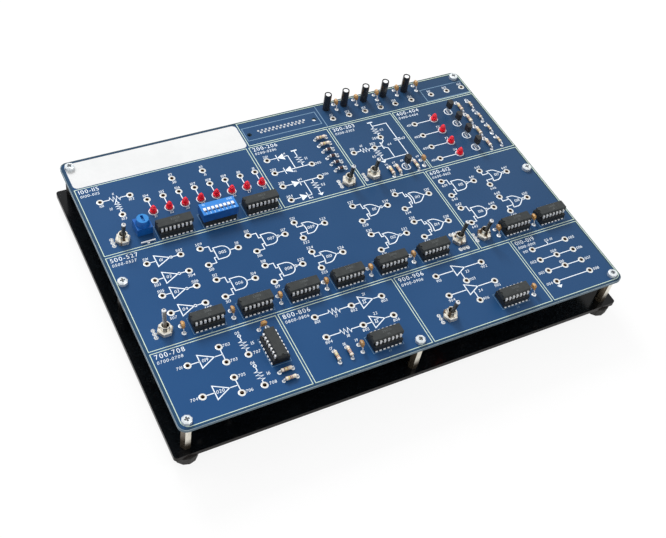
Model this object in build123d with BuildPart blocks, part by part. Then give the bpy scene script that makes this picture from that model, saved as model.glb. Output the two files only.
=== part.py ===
"""Digital logic trainer: a printed circuit board on hexagonal pillars over a glossy base plate.

Millimetres, +Z up, +X along the long side, +Y to the rear. The origin is under the centre of the whole
trainer, level with the bottoms of its feet. Places on the board are measured from a datum just inside
its front left corner, as on a board drawing.
"""

from build123d import *
import os
from math import atan2, cos, degrees, radians, sin

os.makedirs("parts", exist_ok=True)

# Circuit board, base plate and what stands between them; the board's length and depth follow from its drawing
right_margin = 4.66
rear_margin = 6.30
board_thickness = 1.6
board_corner = 5.0
base_rim = 1.0
base_margin_y = 0.5
base_thickness = 3.0
base_corner = 2.0
pillar_height = 22.0
pillar_flats = 5.5
foot_height = 6.0
foot_top_diameter = 15.0
foot_bottom_diameter = 14.0
foot_recess_diameter = 8.0
foot_recess_depth = 3.4
screw_diameter = 2.9
screw_clearance = 0.15
screw_head_diameter = 5.6
screw_head_height = 2.6
screw_head_crown = 0.6
screw_crown_angle = 50.0
screw_cross_length = 3.0
screw_cross_width = 0.9
screw_cross_depth = 1.0
screw_reach = 6.0
edge_inset = 5.5
left_pillar_y = 102.0
right_pillar_y = 101.6
front_pillar_x = 145.4

# Datum of the board drawing, from the board's front left corner
datum_x = 0.22
datum_y = 0.80

# Small turned pieces are drawn with flats, so that hundreds of them stay light
jack_sides = 6
hidden_sides = 6
turned_sides = 8
can_sides = 10
foot_sides = 12

# Jack bores, and the columns and rows that they stand in
jack_bore_diameter = 2.0
bank_rows = (104.00, 79.23)
input_rise = 6.54
inverter_columns = (22.76, 43.35)
gate_inputs = (55.50, 86.03, 116.55, 157.02, 187.58, 222.14, 251.77)
gate_outputs = (76.87, 107.41, 134.12, 178.49, 208.89, 243.21, 269.20)
source_jacks = ((13.34, 164.81), (31.91, 164.81), (22.58, 151.26), (60.68, 169.68), (80.94, 169.68))
switch_jack_pitch = 10.165
switch_jack_start = (40.34, 157.86)
switch_jack_count = 8
diode_jacks = ((122.94, 164.62), (122.94, 152.65), (122.94, 140.37), (122.94, 128.21), (149.06, 152.60))
diode_output_jack = (149.06, 140.42)
amplifier_jacks = ((179.83, 152.75), (195.30, 152.75), (203.88, 160.31))
lamp_jack_x = 232.45
lamp_rows = (164.07, 152.52, 140.99, 129.41)
supply_jack_y = 186.74
supply_jack_columns = (181.52, 193.75, 206.15, 218.23, 229.91, 242.66)
ground_jack_y = 187.32
ground_jack_columns = (259.03, 271.85, 284.12)
pulse_jacks = ((18.39, 36.67), (18.39, 15.46), (51.67, 31.54), (51.67, 10.25))
pulse_column_x = 38.53
pulse_column_rows = (41.89, 31.27, 20.72, 10.25)
delay_columns = (96.74, 120.30, 140.20)
delay_rows = (41.29, 26.42)
driver_columns = (178.25, 210.60)
driver_rows = (42.67, 27.12)
driver_gate_jacks = ((194.21, 33.26), (194.21, 17.68))
channel_columns = (246.97, 272.13)
channel_rows = (39.91, 30.99, 21.92, 12.93)
channel_middle_x = 259.60
channel_middle_rows = (30.99, 21.92)

# Dual in-line chips and their sockets
pin_pitch = 2.54
short_pin_count = 14
long_pin_count = 16
socket_width = 10.16
socket_height = 4.0
socket_rail = 2.6
socket_end_bar = 2.5
chip_width = 6.35
chip_height = 3.3
chip_standing = 1.2
chip_overhang = 0.75
chip_draft = 0.28
chip_notch_radius = 0.9
chip_notch_depth = 0.5
leg_width = 1.2
leg_thickness = 0.3
leg_span = 8.1
gate_chip_columns = (38.96, 68.32, 97.68, 127.04, 156.40, 185.76, 245.90, 272.65)
gate_chip_row = 60.25
delay_chip = (126.20, 12.50)
driver_chip = (213.10, 12.40)
pulse_chip = (66.00, 29.00)
source_chips = ((47.00, 130.30), (102.60, 130.30))

# Switch block with eight sliders
switch_block = (74.80, 130.30)
switch_block_length = 22.3
switch_block_width = 9.4
switch_block_height = 6.2
switch_count = 8
slider_width = 1.7
slider_length = 2.0
slider_travel = 1.5
slider_depth = 1.3
slider_clearance = 0.10
slider_row_offset = -0.8

# Sub-miniature toggle switches
toggle_places = (
    (16.00, 131.90),
    (15.40, 62.20),
    (164.40, 130.30),
    (182.50, 130.60),
    (206.40, 62.60),
    (223.60, 60.70),
    (170.80, 13.80),
)
rear_leaning_toggle = 1
side_leaning_toggle = 4
toggle_lean = 8.5
toggle_body_length = 8.6
toggle_body_width = 6.9
toggle_body_height = 7.6
bushing_diameter = 5.2
bushing_bore = 4.2
bushing_height = 5.8
bushing_clearance = 0.10
nut_flats = 8.0
nut_height = 3.0
nut_bevel = 0.6
lever_neck_diameter = 2.1
lever_tip_diameter = 2.5
lever_bead_diameter = 3.4
lever_bead_half = 1.7
lever_length = 16.0
lever_tip_height = 0.6
lever_tip_angle = 40.0
pivot_rise = 0.8
terminal_width = 0.8
terminal_thickness = 0.5
terminal_reach = 7.3
side_toggle_front_reach = 8.4
side_toggle_rear_reach = 6.7

# Trimmer and the wire link in front of it
trimmer_place = (29.60, 136.30)
trimmer_side = 9.5
trimmer_height = 5.4
trimmer_rotor_diameter = 7.4
trimmer_rotor_height = 5.4
trimmer_well_depth = 1.4
trimmer_well_clearance = 0.15
trimmer_slot_width = 1.6
trimmer_slot_length = 5.0
trimmer_slot_depth = 1.6
link_place = (29.25, 125.65)
link_span = 8.1
link_height = 1.2
link_diameter = 0.7

# Indicator lamps
lamp_diameter = 3.2
lamp_flange_diameter = 4.6
lamp_flange_height = 1.5
lamp_height = 5.3
dome_flat = 0.2
dome_angle = 33.0
source_lamp_y = 147.40
indicator_lamp_x = 247.60

# Upright capacitors
can_columns = (181.20, 194.60, 209.90, 225.20, 242.00)
can_row = 196.90
can_diameter = 5.0
can_height = 12.6
can_sleeve_wall = 0.25
can_rim = 0.3

# Ceramic capacitors on leads; the first eight lie in the power and chip rows
ceramic_supply_columns = (188.00, 203.30, 219.40, 235.30, 250.80)
ceramic_supply_row = 196.70
ceramic_chip_columns = (24.50, 54.00, 83.20, 112.60, 141.90, 171.30, 233.00, 259.70)
ceramic_chip_row = 59.80
ceramic_others = ((111.30, 12.55), (227.60, 11.90), (218.80, 129.75))
ceramic_turned = (66.10, 44.50)
ceramic_width = 4.0
ceramic_body_height = 3.6
ceramic_thickness = 1.9
ceramic_lift = 3.2
ceramic_draft = 28.0
ceramic_corner = 1.0
lead_spacing = 5.08
wire_side = 0.55
lead_top_spacing = 2.8

# Resistors and diodes that lie on the board
resistor_length = 6.3
resistor_diameter = 2.0
small_resistor_length = 4.0
small_resistor_diameter = 1.6
diode_length = 4.2
diode_diameter = 2.0
lying_height = 1.7
flat_resistors = ((164.60, 171.60, 8.4), (164.60, 165.50, 8.4), (66.30, 14.40, 8.1), (66.30, 8.60, 8.1))
upright_resistors = (
    (96.10, 12.20, 7.8),
    (104.00, 12.20, 7.8),
    (195.00, 129.10, 8.4),
    (200.10, 129.10, 8.4),
    (213.40, 129.40, 9.9),
)
lamp_resistor_x = 271.00
lamp_resistor_spacing = 10.16
small_resistor_x = 279.70
small_resistor_spacing = 8.4
lamp_resistor_rows = (168.10, 155.65, 143.05, 130.65)
flat_diodes = ((164.40, 159.80), (164.40, 153.70), (164.40, 147.80), (164.40, 141.80))
diode_spacing = 7.5

# Transistors with one flat side
transistor_places = ((261.00, 167.70), (261.00, 155.50), (261.00, 143.10), (261.00, 130.90), (206.60, 130.40))
transistor_width = 4.7
transistor_depth = 3.7
transistor_height = 4.9
transistor_lift = 4.4

# Rear connector under the board's edge
connector_x = 145.40
connector_hole_y = 190.10
connector_hole_spacing = 47.04
connector_hole_diameter = 3.0
connector_flange_margin = 3.0
connector_flange_height = 12.5
connector_flange_thickness = 1.0
connector_flange_corner = 2.0
connector_reach = 1.8
connector_flange_inset = 4.4
connector_shell_length = 38.4
connector_shell_height = 7.9
connector_shell_corner = 1.6
connector_shell_slope = 10.0
connector_shell_wall = 0.5
connector_body_length = 41.0
connector_body_height = 10.4
connector_body_depth = 6.5
contact_pitch = 2.76
contact_rows = (191.40, 188.70)
contact_counts = (13, 12)
contact_levels = (1.42, -1.42)
contact_side = 0.6
jackscrew_flats = 4.8
jackscrew_length = 5.0
jackscrew_bore = 2.4
jackscrew_bore_depth = 4.5
jackscrew_thread = 3.0
connector_fit = 0.05
connector_recess = 0.4

# Board and base plate
board_length = datum_x + ground_jack_columns[-1] + right_margin
board_depth = datum_y + can_row + rear_margin
base_length = board_length + 2 * (foot_top_diameter / 2 - edge_inset + base_rim)
base_depth = board_depth + 2 * base_margin_y

# Heights, from the bottoms of the feet
base_bottom = foot_height
base_top = base_bottom + base_thickness
board_bottom = base_top + pillar_height
board_top = board_bottom + board_thickness
socket_top = board_top + socket_height
front_reach = max(base_depth / 2, board_depth / 2 - edge_inset + foot_top_diameter / 2)
rear_reach = max(front_reach, board_depth / 2 + connector_reach)
middle_y = (rear_reach - front_reach) / 2
board_centre = (0, -middle_y)


def on_board(x, y):
    """A place on the board drawing, in the trainer's own frame."""
    return (x + datum_x - board_length / 2, y + datum_y - board_depth / 2 - middle_y)


def keep(piece, name):
    """Labels a finished sub-part and writes its file."""
    piece.part.label = name
    export_step(piece.part, f"parts/{name}.step")


def taper_angle(wide, slim, length):
    """The draft angle of a piece that narrows from one radius to another over a length."""
    return degrees(atan2(wide - slim, abs(length)))


def keep_group(pieces, name):
    """Puts identical pieces, each a solid of its own, into one node."""
    with BuildPart() as group:
        add(pieces)
    keep(group, name)


# Pillars and screws: four corners, the middles of the front and the left side, and the right side
inner_x = board_length / 2 - edge_inset
inner_y = board_depth / 2 - edge_inset
corner_places = [(sx * inner_x, sy * inner_y - middle_y) for sx in (-1, 1) for sy in (-1, 1)]
side_places = [
    (on_board(front_pillar_x, 0)[0], -inner_y - middle_y),
    (-inner_x, on_board(0, left_pillar_y)[1]),
    (inner_x, on_board(0, right_pillar_y)[1]),
]
pillar_places = corner_places + side_places
screw_radius = screw_diameter / 2
screw_hole_radius = screw_radius + screw_clearance
bushing_radius = bushing_diameter / 2
bushing_hole_radius = bushing_radius + bushing_clearance

# Jack bores
bank_levels = [row + side * input_rise for row in bank_rows for side in (-1, 1)]
jack_drawing = [(x, y) for x in inverter_columns + gate_inputs for y in bank_levels]
jack_drawing += [(x, y) for x in gate_outputs for y in bank_rows]
jack_drawing += list(source_jacks + diode_jacks + amplifier_jacks + pulse_jacks + driver_gate_jacks)
jack_drawing += [diode_output_jack]
jack_drawing += [
    (switch_jack_start[0] + i * switch_jack_pitch, switch_jack_start[1]) for i in range(switch_jack_count)
]
jack_drawing += [(lamp_jack_x, y) for y in lamp_rows]
jack_drawing += [(x, supply_jack_y) for x in supply_jack_columns]
jack_drawing += [(x, ground_jack_y) for x in ground_jack_columns]
jack_drawing += [(pulse_column_x, y) for y in pulse_column_rows]
jack_drawing += [(x, y) for x in delay_columns for y in delay_rows]
jack_drawing += [(x, y) for x in driver_columns for y in driver_rows]
jack_drawing += [(x, y) for x in channel_columns for y in channel_rows]
jack_drawing += [(channel_middle_x, y) for y in channel_middle_rows]
jack_places = [on_board(x, y) for x, y in jack_drawing]

toggle_centres = [on_board(x, y) for x, y in toggle_places]
connector_holes = [
    on_board(connector_x + side * connector_hole_spacing / 2, connector_hole_y) for side in (-1, 1)
]

# Circuit board
with BuildPart() as circuit_board:
    with BuildSketch(Plane.XY.offset(board_bottom)):
        with Locations(board_centre):
            RectangleRounded(board_length, board_depth, board_corner)
        with Locations(*jack_places):
            RegularPolygon(jack_bore_diameter / 2, jack_sides, major_radius=False, mode=Mode.SUBTRACT)
        with Locations(*pillar_places):
            RegularPolygon(screw_hole_radius, hidden_sides, major_radius=False, mode=Mode.SUBTRACT)
        with Locations(*toggle_centres):
            RegularPolygon(bushing_hole_radius, turned_sides, major_radius=False, mode=Mode.SUBTRACT)
        with Locations(*connector_holes):
            RegularPolygon(connector_hole_diameter / 2, hidden_sides, major_radius=False, mode=Mode.SUBTRACT)
    extrude(amount=board_thickness)
keep(circuit_board, "circuit_board")

# Base plate, drilled under each pillar
with BuildPart() as base_plate:
    with BuildSketch(Plane.XY.offset(base_bottom)):
        with Locations(board_centre):
            RectangleRounded(base_length, base_depth, base_corner)
        with Locations(*pillar_places):
            RegularPolygon(screw_hole_radius, hidden_sides, major_radius=False, mode=Mode.SUBTRACT)
    extrude(amount=base_thickness)
keep(base_plate, "base_plate")

# Pillars, tapped right through
with BuildPart() as pillars:
    with BuildSketch(Plane.XY.offset(base_top)):
        with Locations(*pillar_places):
            RegularPolygon(pillar_flats / 2, 6, major_radius=False)
            RegularPolygon(screw_hole_radius, hidden_sides, major_radius=False, mode=Mode.SUBTRACT)
    extrude(amount=pillar_height)
keep(pillars, "pillars")

# Rubber feet: a slight taper, with a recess for the screw head
with BuildPart() as rubber_feet:
    with BuildSketch(Plane.XY.offset(foot_height)):
        with Locations(*corner_places):
            RegularPolygon(foot_top_diameter / 2, foot_sides)
    extrude(
        amount=-foot_height, taper=taper_angle(foot_top_diameter / 2, foot_bottom_diameter / 2, foot_height)
    )
    with BuildSketch(Plane.XY):
        with Locations(*corner_places):
            RegularPolygon(foot_recess_diameter / 2, turned_sides, major_radius=False)
    extrude(amount=foot_recess_depth, mode=Mode.SUBTRACT)
    with BuildSketch(Plane.XY):
        with Locations(*corner_places):
            RegularPolygon(screw_hole_radius, hidden_sides, major_radius=False)
    extrude(amount=foot_height, mode=Mode.SUBTRACT)
keep(rubber_feet, "rubber_feet")


def pan_screw(place, seat, shank_end):
    """One pan-head screw: its head rises from seat, away from shank_end."""
    away = 1 if seat > shank_end else -1
    head_plane = Plane(origin=(*place, seat), x_dir=(1, 0, 0), z_dir=(0, 0, away))
    with BuildPart() as screw:
        with BuildSketch(head_plane):
            RegularPolygon(screw_head_diameter / 2, turned_sides, major_radius=False)
        extrude(amount=screw_head_height - screw_head_crown)
        with BuildSketch(head_plane.offset(screw_head_height - screw_head_crown)):
            RegularPolygon(screw_head_diameter / 2, turned_sides, major_radius=False)
        extrude(amount=screw_head_crown, taper=screw_crown_angle)
        with BuildSketch(head_plane):
            RegularPolygon(screw_radius, hidden_sides, major_radius=False)
        extrude(amount=-abs(seat - shank_end))
    return screw.part


# Screws from above, through the circuit board into the pillars, each head with a cross recess
with BuildPart() as board_screws:
    add([pan_screw(place, board_top, board_top - screw_reach) for place in pillar_places])
    with BuildSketch(Plane.XY.offset(board_top + screw_head_height)):
        with Locations(*pillar_places):
            Rectangle(screw_cross_length, screw_cross_width)
            Rectangle(screw_cross_width, screw_cross_length)
    extrude(amount=-screw_cross_depth, mode=Mode.SUBTRACT)
keep(board_screws, "board_screws")

# Screws from below: through the feet at the corners, and straight through the base plate elsewhere
foot_screws = [pan_screw(place, foot_recess_depth, base_top + screw_reach) for place in corner_places]
plate_screws = [pan_screw(place, base_bottom, base_top + screw_reach) for place in side_places]
keep_group(foot_screws + plate_screws, "base_screws")


def socket_length(pin_count):
    """Length of a dual in-line socket, from its pin count."""
    return pin_count / 2 * pin_pitch


def chip_socket(plane, pin_count):
    """One socket: two contact rails joined by end bars round an open window."""
    length = socket_length(pin_count)
    with BuildPart() as socket:
        with BuildSketch(plane):
            Rectangle(length, socket_width)
            Rectangle(length - 2 * socket_end_bar, socket_width - 2 * socket_rail, mode=Mode.SUBTRACT)
        extrude(amount=socket_height)
    return socket.part


def chip_planes(places, level, turned=False):
    """Work planes for chips at some places: +X runs along the chip."""
    x_dir = (0, 1, 0) if turned else (1, 0, 0)
    return [Plane(origin=(*on_board(x, y), level), x_dir=x_dir, z_dir=(0, 0, 1)) for x, y in places]


def all_chip_planes(level):
    """Work planes of the fourteen-pin chips at one level, the turned one last."""
    across = [(x, gate_chip_row) for x in gate_chip_columns] + [delay_chip, driver_chip]
    return chip_planes(across, level) + chip_planes([pulse_chip], level, turned=True)


keep_group([chip_socket(plane, short_pin_count) for plane in all_chip_planes(board_top)], "sockets_14")
long_socket_planes = chip_planes(source_chips + (switch_block,), board_top)
keep_group([chip_socket(plane, long_pin_count) for plane in long_socket_planes], "sockets_16")


def chip_body(plane, pin_count):
    """One moulded chip body: drafted sides and a half-round notch at one end."""
    length = socket_length(pin_count) + 2 * chip_overhang
    half = chip_width / 2
    end = plane.origin - plane.x_dir * length / 2
    with BuildPart() as body:
        with BuildSketch(Plane(origin=end, x_dir=plane.y_dir, z_dir=plane.x_dir)):
            with BuildLine():
                Polyline(
                    (-half + chip_draft, 0),
                    (half - chip_draft, 0),
                    (half, chip_height / 2),
                    (half - chip_draft, chip_height),
                    (-half + chip_draft, chip_height),
                    (-half, chip_height / 2),
                    close=True,
                )
            make_face()
        extrude(amount=length)
        with BuildSketch(Plane(end + plane.z_dir * chip_height, x_dir=plane.x_dir, z_dir=plane.z_dir)):
            RegularPolygon(chip_notch_radius, jack_sides)
        extrude(amount=-chip_notch_depth, mode=Mode.SUBTRACT)
    return body.part


chip_bottom = socket_top + chip_standing
keep_group([chip_body(plane, short_pin_count) for plane in all_chip_planes(chip_bottom)], "logic_chips_14")
long_chip_planes = chip_planes(source_chips, chip_bottom)
keep_group([chip_body(plane, long_pin_count) for plane in long_chip_planes], "logic_chips_16")


def chip_legs(plane, pin_count):
    """The bent legs of one chip: out of the body's side, then down to the socket."""
    shoulder = chip_standing + chip_height / 2
    root = chip_width / 2
    bend = leg_span / 2
    first = -(pin_count / 2 - 1) / 2 * pin_pitch - leg_width / 2
    with BuildPart() as legs:
        for i in range(pin_count // 2):
            leg_start = plane.origin + plane.x_dir * (first + i * pin_pitch)
            side_plane = Plane(leg_start, x_dir=plane.y_dir, z_dir=plane.x_dir)
            with BuildSketch(side_plane):
                for side in (-1, 1):
                    with BuildLine():
                        Polyline(
                            (side * (bend - leg_thickness), 0),
                            (side * bend, 0),
                            (side * bend, shoulder),
                            (side * root, shoulder),
                            close=True,
                        )
                    make_face()
            extrude(amount=leg_width)
    return legs.part


short_legs = [chip_legs(plane, short_pin_count) for plane in all_chip_planes(socket_top)]
long_legs = [chip_legs(plane, long_pin_count) for plane in chip_planes(source_chips, socket_top)]
keep_group(short_legs + long_legs, "chip_legs")

# Switch block: a recess for each slider, open at the top
block_x, block_y = on_board(*switch_block)
block_top = socket_top + switch_block_height
slider_floor = block_top - slider_depth
recess_length = slider_length + slider_travel + 2 * slider_clearance
slider_centres = [block_x + (i - (switch_count - 1) / 2) * pin_pitch for i in range(switch_count)]
recess_y = block_y + slider_row_offset
slider_y = recess_y + slider_travel / 2

with BuildPart() as switch_housing:
    with BuildSketch(Plane.XY.offset(socket_top)):
        with Locations((block_x, block_y)):
            Rectangle(switch_block_length, switch_block_width)
    extrude(amount=switch_block_height)
    with BuildSketch(Plane.XY.offset(block_top)):
        with Locations(*[(x, recess_y) for x in slider_centres]):
            Rectangle(slider_width + 2 * slider_clearance, recess_length)
    extrude(amount=-slider_depth, mode=Mode.SUBTRACT)
keep(switch_housing, "switch_housing")

for i, slider_x in enumerate(slider_centres):
    with BuildPart() as slider:
        with BuildSketch(Plane.XY.offset(slider_floor)):
            with Locations((slider_x, slider_y)):
                Rectangle(slider_width, slider_length)
        extrude(amount=slider_depth)
    keep(slider, f"slider_{i + 1}")

# Toggle switches: body below the board, bushing through it, nut on top


def toggle_runs_sideways(index):
    """True for the switch whose lever swings left and right instead of front to rear."""
    return index == side_leaning_toggle


with BuildPart() as toggle_bodies:
    with BuildSketch(Plane.XY.offset(board_bottom)):
        for i, centre in enumerate(toggle_centres):
            with Locations(centre):
                if toggle_runs_sideways(i):
                    Rectangle(toggle_body_length, toggle_body_width)
                else:
                    Rectangle(toggle_body_width, toggle_body_length)
    extrude(amount=-toggle_body_height)
keep(toggle_bodies, "toggle_bodies")

with BuildPart() as toggle_bushings:
    with BuildSketch(Plane.XY.offset(board_bottom)):
        with Locations(*toggle_centres):
            RegularPolygon(bushing_radius, turned_sides, major_radius=False)
            RegularPolygon(bushing_bore / 2, turned_sides, major_radius=False, mode=Mode.SUBTRACT)
    extrude(amount=board_thickness + bushing_height)
keep(toggle_bushings, "toggle_bushings")

with BuildPart() as toggle_nuts:
    with BuildSketch(Plane.XY.offset(board_top)):
        with Locations(*toggle_centres):
            RegularPolygon(nut_flats / 2, 6, major_radius=False)
    extrude(amount=nut_height)
    chamfer(toggle_nuts.faces().group_by(Axis.Z)[-1].edges(), length=nut_bevel)
    with BuildSketch(Plane.XY.offset(board_top)):
        with Locations(*toggle_centres):
            RegularPolygon(bushing_radius + bushing_clearance / 2, turned_sides, major_radius=False)
    extrude(amount=nut_height, mode=Mode.SUBTRACT)
keep(toggle_nuts, "toggle_nuts")


def terminal(start, away, reach):
    """One terminal: out of the body's side near its foot, then up to the board."""
    across = Vector(0, 0, 1).cross(away)
    arm_level = -toggle_body_height + terminal_width
    origin = Vector(start.X, start.Y, board_bottom) - across * terminal_width / 2
    with BuildPart() as bent:
        with BuildSketch(Plane(origin=origin, x_dir=away, z_dir=-across)):
            with BuildLine():
                Polyline(
                    (toggle_body_width / 2, arm_level),
                    (toggle_body_width / 2, arm_level - terminal_thickness),
                    (reach + terminal_thickness / 2, arm_level - terminal_thickness),
                    (reach + terminal_thickness / 2, 0),
                    (reach - terminal_thickness / 2, 0),
                    (reach - terminal_thickness / 2, arm_level),
                    close=True,
                )
            make_face()
        extrude(amount=-terminal_width)
    return bent.part


terminals = []
for i, (toggle_x, toggle_y) in enumerate(toggle_centres):
    for shift in (-pin_pitch, 0, pin_pitch):
        if toggle_runs_sideways(i):
            start = Vector(toggle_x + shift, toggle_y)
            terminals.append(terminal(start, Vector(0, -1, 0), side_toggle_front_reach))
            terminals.append(terminal(start, Vector(0, 1, 0), side_toggle_rear_reach))
        else:
            start = Vector(toggle_x, toggle_y + shift)
            terminals.append(terminal(start, Vector(-1, 0, 0), terminal_reach))
keep_group(terminals, "toggle_terminals")

# Toggle levers: a bead in the bushing, a slim neck that widens upwards, and a rounded tip
bead_radius = lever_bead_diameter / 2
neck_radius = lever_neck_diameter / 2
tip_radius = lever_tip_diameter / 2
shank_length = lever_length - lever_bead_half - lever_tip_height

with BuildPart() as lever_shank:
    with BuildSketch(Plane.XY):
        RegularPolygon(tip_radius, turned_sides, major_radius=False)
    extrude(amount=shank_length, taper=taper_angle(tip_radius, neck_radius, shank_length))

with BuildPart() as upright_lever:
    with BuildSketch(Plane.XY):
        RegularPolygon(bead_radius, turned_sides, major_radius=False)
    extrude(amount=lever_bead_half, taper=taper_angle(bead_radius, neck_radius, lever_bead_half))
    mirror(about=Plane.XY)
    with Locations((0, 0, lever_bead_half + shank_length)):
        add(lever_shank.part, rotation=(180, 0, 0))
    with BuildSketch(Plane.XY.offset(lever_bead_half + shank_length)):
        RegularPolygon(tip_radius, turned_sides, major_radius=False)
    extrude(amount=lever_tip_height, taper=lever_tip_angle)

pivot_level = board_top + pivot_rise
lean_up = cos(radians(toggle_lean))
lean_out = sin(radians(toggle_lean))

for i, (toggle_x, toggle_y) in enumerate(toggle_centres):
    if toggle_runs_sideways(i):
        hinge_dir, lean_dir = (0, 1, 0), (lean_out, 0, lean_up)
    elif i == rear_leaning_toggle:
        hinge_dir, lean_dir = (1, 0, 0), (0, lean_out, lean_up)
    else:
        hinge_dir, lean_dir = (1, 0, 0), (0, -lean_out, lean_up)
    with BuildPart() as lever:
        with Locations(Plane(origin=(toggle_x, toggle_y, pivot_level), x_dir=hinge_dir, z_dir=lean_dir)):
            add(upright_lever.part)
    keep(lever, f"lever_{i + 1}")

# Trimmer: a square housing with a round well for its slotted rotor
trimmer_x, trimmer_y = on_board(*trimmer_place)
well_floor = board_top + trimmer_height - trimmer_well_depth

with BuildPart() as trimmer_housing:
    with BuildSketch(Plane.XY.offset(board_top)):
        with Locations((trimmer_x, trimmer_y)):
            Rectangle(trimmer_side, trimmer_side)
    extrude(amount=trimmer_height)
    with BuildSketch(Plane.XY.offset(board_top + trimmer_height)):
        with Locations((trimmer_x, trimmer_y)):
            RegularPolygon(
                trimmer_rotor_diameter / 2 + trimmer_well_clearance, can_sides, major_radius=False
            )
    extrude(amount=-trimmer_well_depth, mode=Mode.SUBTRACT)
keep(trimmer_housing, "trimmer_housing")

with BuildPart() as trimmer_rotor:
    with BuildSketch(Plane.XY.offset(well_floor)):
        with Locations((trimmer_x, trimmer_y)):
            RegularPolygon(trimmer_rotor_diameter / 2, can_sides)
    extrude(amount=trimmer_rotor_height)
    with BuildSketch(Plane.XY.offset(well_floor + trimmer_rotor_height)):
        with Locations((trimmer_x, trimmer_y)):
            Rectangle(trimmer_slot_width, trimmer_slot_length)
    extrude(amount=-trimmer_slot_depth, mode=Mode.SUBTRACT)
keep(trimmer_rotor, "trimmer_rotor")

# Wire link: a low arch between two holes
link_x, link_y = on_board(*link_place)
with BuildPart() as wire_link:
    with BuildSketch(Plane.XZ.offset(-link_y - link_diameter / 2)):
        with Locations((link_x, board_top + link_height / 2)):
            Rectangle(link_span + link_diameter, link_height)
        with Locations((link_x, board_top + (link_height - link_diameter) / 2)):
            Rectangle(link_span - link_diameter, link_height - link_diameter, mode=Mode.SUBTRACT)
    extrude(amount=link_diameter)
keep(wire_link, "wire_link")

# Indicator lamps: a flange, a straight barrel and a domed end
lamp_places = [
    on_board(switch_jack_start[0] + i * switch_jack_pitch, source_lamp_y) for i in range(switch_jack_count)
]
lamp_places += [on_board(indicator_lamp_x, y) for y in lamp_rows]
lamp_radius = lamp_diameter / 2
dome_base = board_top + lamp_height - lamp_radius

with BuildPart() as indicator_lamps:
    with BuildSketch(Plane.XY.offset(board_top)):
        with Locations(*lamp_places):
            RegularPolygon(lamp_flange_diameter / 2, turned_sides)
    extrude(amount=lamp_flange_height)
    with BuildSketch(Plane.XY.offset(board_top + lamp_flange_height)):
        with Locations(*lamp_places):
            RegularPolygon(lamp_radius, turned_sides)
    extrude(amount=dome_base - board_top - lamp_flange_height)
    with BuildSketch(Plane.XY.offset(dome_base)):
        with Locations(*lamp_places):
            RegularPolygon(lamp_radius, turned_sides)
    extrude(amount=lamp_radius - dome_flat, taper=dome_angle)
keep(indicator_lamps, "indicator_lamps")

# Upright capacitors: an aluminium can in a plastic sleeve that rolls over its rim
can_places = [on_board(x, can_row) for x in can_columns]
can_radius = can_diameter / 2 - can_sleeve_wall

with BuildPart() as capacitor_cans:
    with BuildSketch(Plane.XY.offset(board_top)):
        with Locations(*can_places):
            RegularPolygon(can_radius, can_sides)
    extrude(amount=can_height)
keep(capacitor_cans, "capacitor_cans")

with BuildPart() as capacitor_sleeves:
    with BuildSketch(Plane.XY.offset(board_top)):
        with Locations(*can_places):
            RegularPolygon(can_diameter / 2, can_sides)
            RegularPolygon(can_radius, can_sides, mode=Mode.SUBTRACT)
    extrude(amount=can_height + can_rim)
keep(capacitor_sleeves, "capacitor_sleeves")

# Ceramic capacitors: a dipped lens-shaped body on two leads
ceramic_drawing = [(x, ceramic_supply_row, False) for x in ceramic_supply_columns]
ceramic_drawing += [(x, ceramic_chip_row, False) for x in ceramic_chip_columns]
ceramic_drawing += [(x, y, False) for x, y in ceramic_others]
ceramic_drawing += [(*ceramic_turned, True)]


def ceramic_plane(x, y, turned):
    """The upright middle plane of one capacitor, its +X along the leads' row."""
    centre = Vector(*on_board(x, y), board_top + ceramic_lift + ceramic_body_height / 2)
    if turned:
        return Plane(origin=centre, x_dir=(1, 0, 0), z_dir=(0, -1, 0))
    return Plane(origin=centre, x_dir=(0, 1, 0), z_dir=(1, 0, 0))


def ceramic_body(middle):
    """One dipped body: thickest in the middle, its upper corners taken off, its foot wide over the leads."""
    half_width = ceramic_width / 2
    half_height = ceramic_body_height / 2
    with BuildPart() as body:
        with BuildSketch(Plane.XY):
            with BuildLine():
                Polyline(
                    (-half_width, -half_height),
                    (half_width, -half_height),
                    (half_width, half_height - ceramic_corner),
                    (half_width - ceramic_corner, half_height),
                    (-half_width + ceramic_corner, half_height),
                    (-half_width, half_height - ceramic_corner),
                    close=True,
                )
            make_face()
        extrude(amount=ceramic_thickness / 2, taper=ceramic_draft)
        mirror(about=Plane.XY)
    return body.part.moved(middle.location)


def lead_pair(middle):
    """The two leads of one capacitor, which lean in from the board to the underside of its body."""
    half_wire = wire_side / 2
    foot = lead_spacing / 2
    top = lead_top_spacing / 2
    with BuildPart() as leads:
        with BuildSketch(middle.offset(-half_wire)):
            for side in (-1, 1):
                with BuildLine():
                    Polyline(
                        (side * (foot - half_wire), -ceramic_lift - ceramic_body_height / 2),
                        (side * (foot + half_wire), -ceramic_lift - ceramic_body_height / 2),
                        (side * (top + half_wire), -ceramic_body_height / 2),
                        (side * (top - half_wire), -ceramic_body_height / 2),
                        close=True,
                    )
                make_face()
        extrude(amount=wire_side)
    return leads.part


ceramic_middles = [ceramic_plane(x, y, turned) for x, y, turned in ceramic_drawing]
keep_group([ceramic_body(middle) for middle in ceramic_middles], "ceramic_capacitors")
keep_group([lead_pair(middle) for middle in ceramic_middles], "ceramic_leads")

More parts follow.
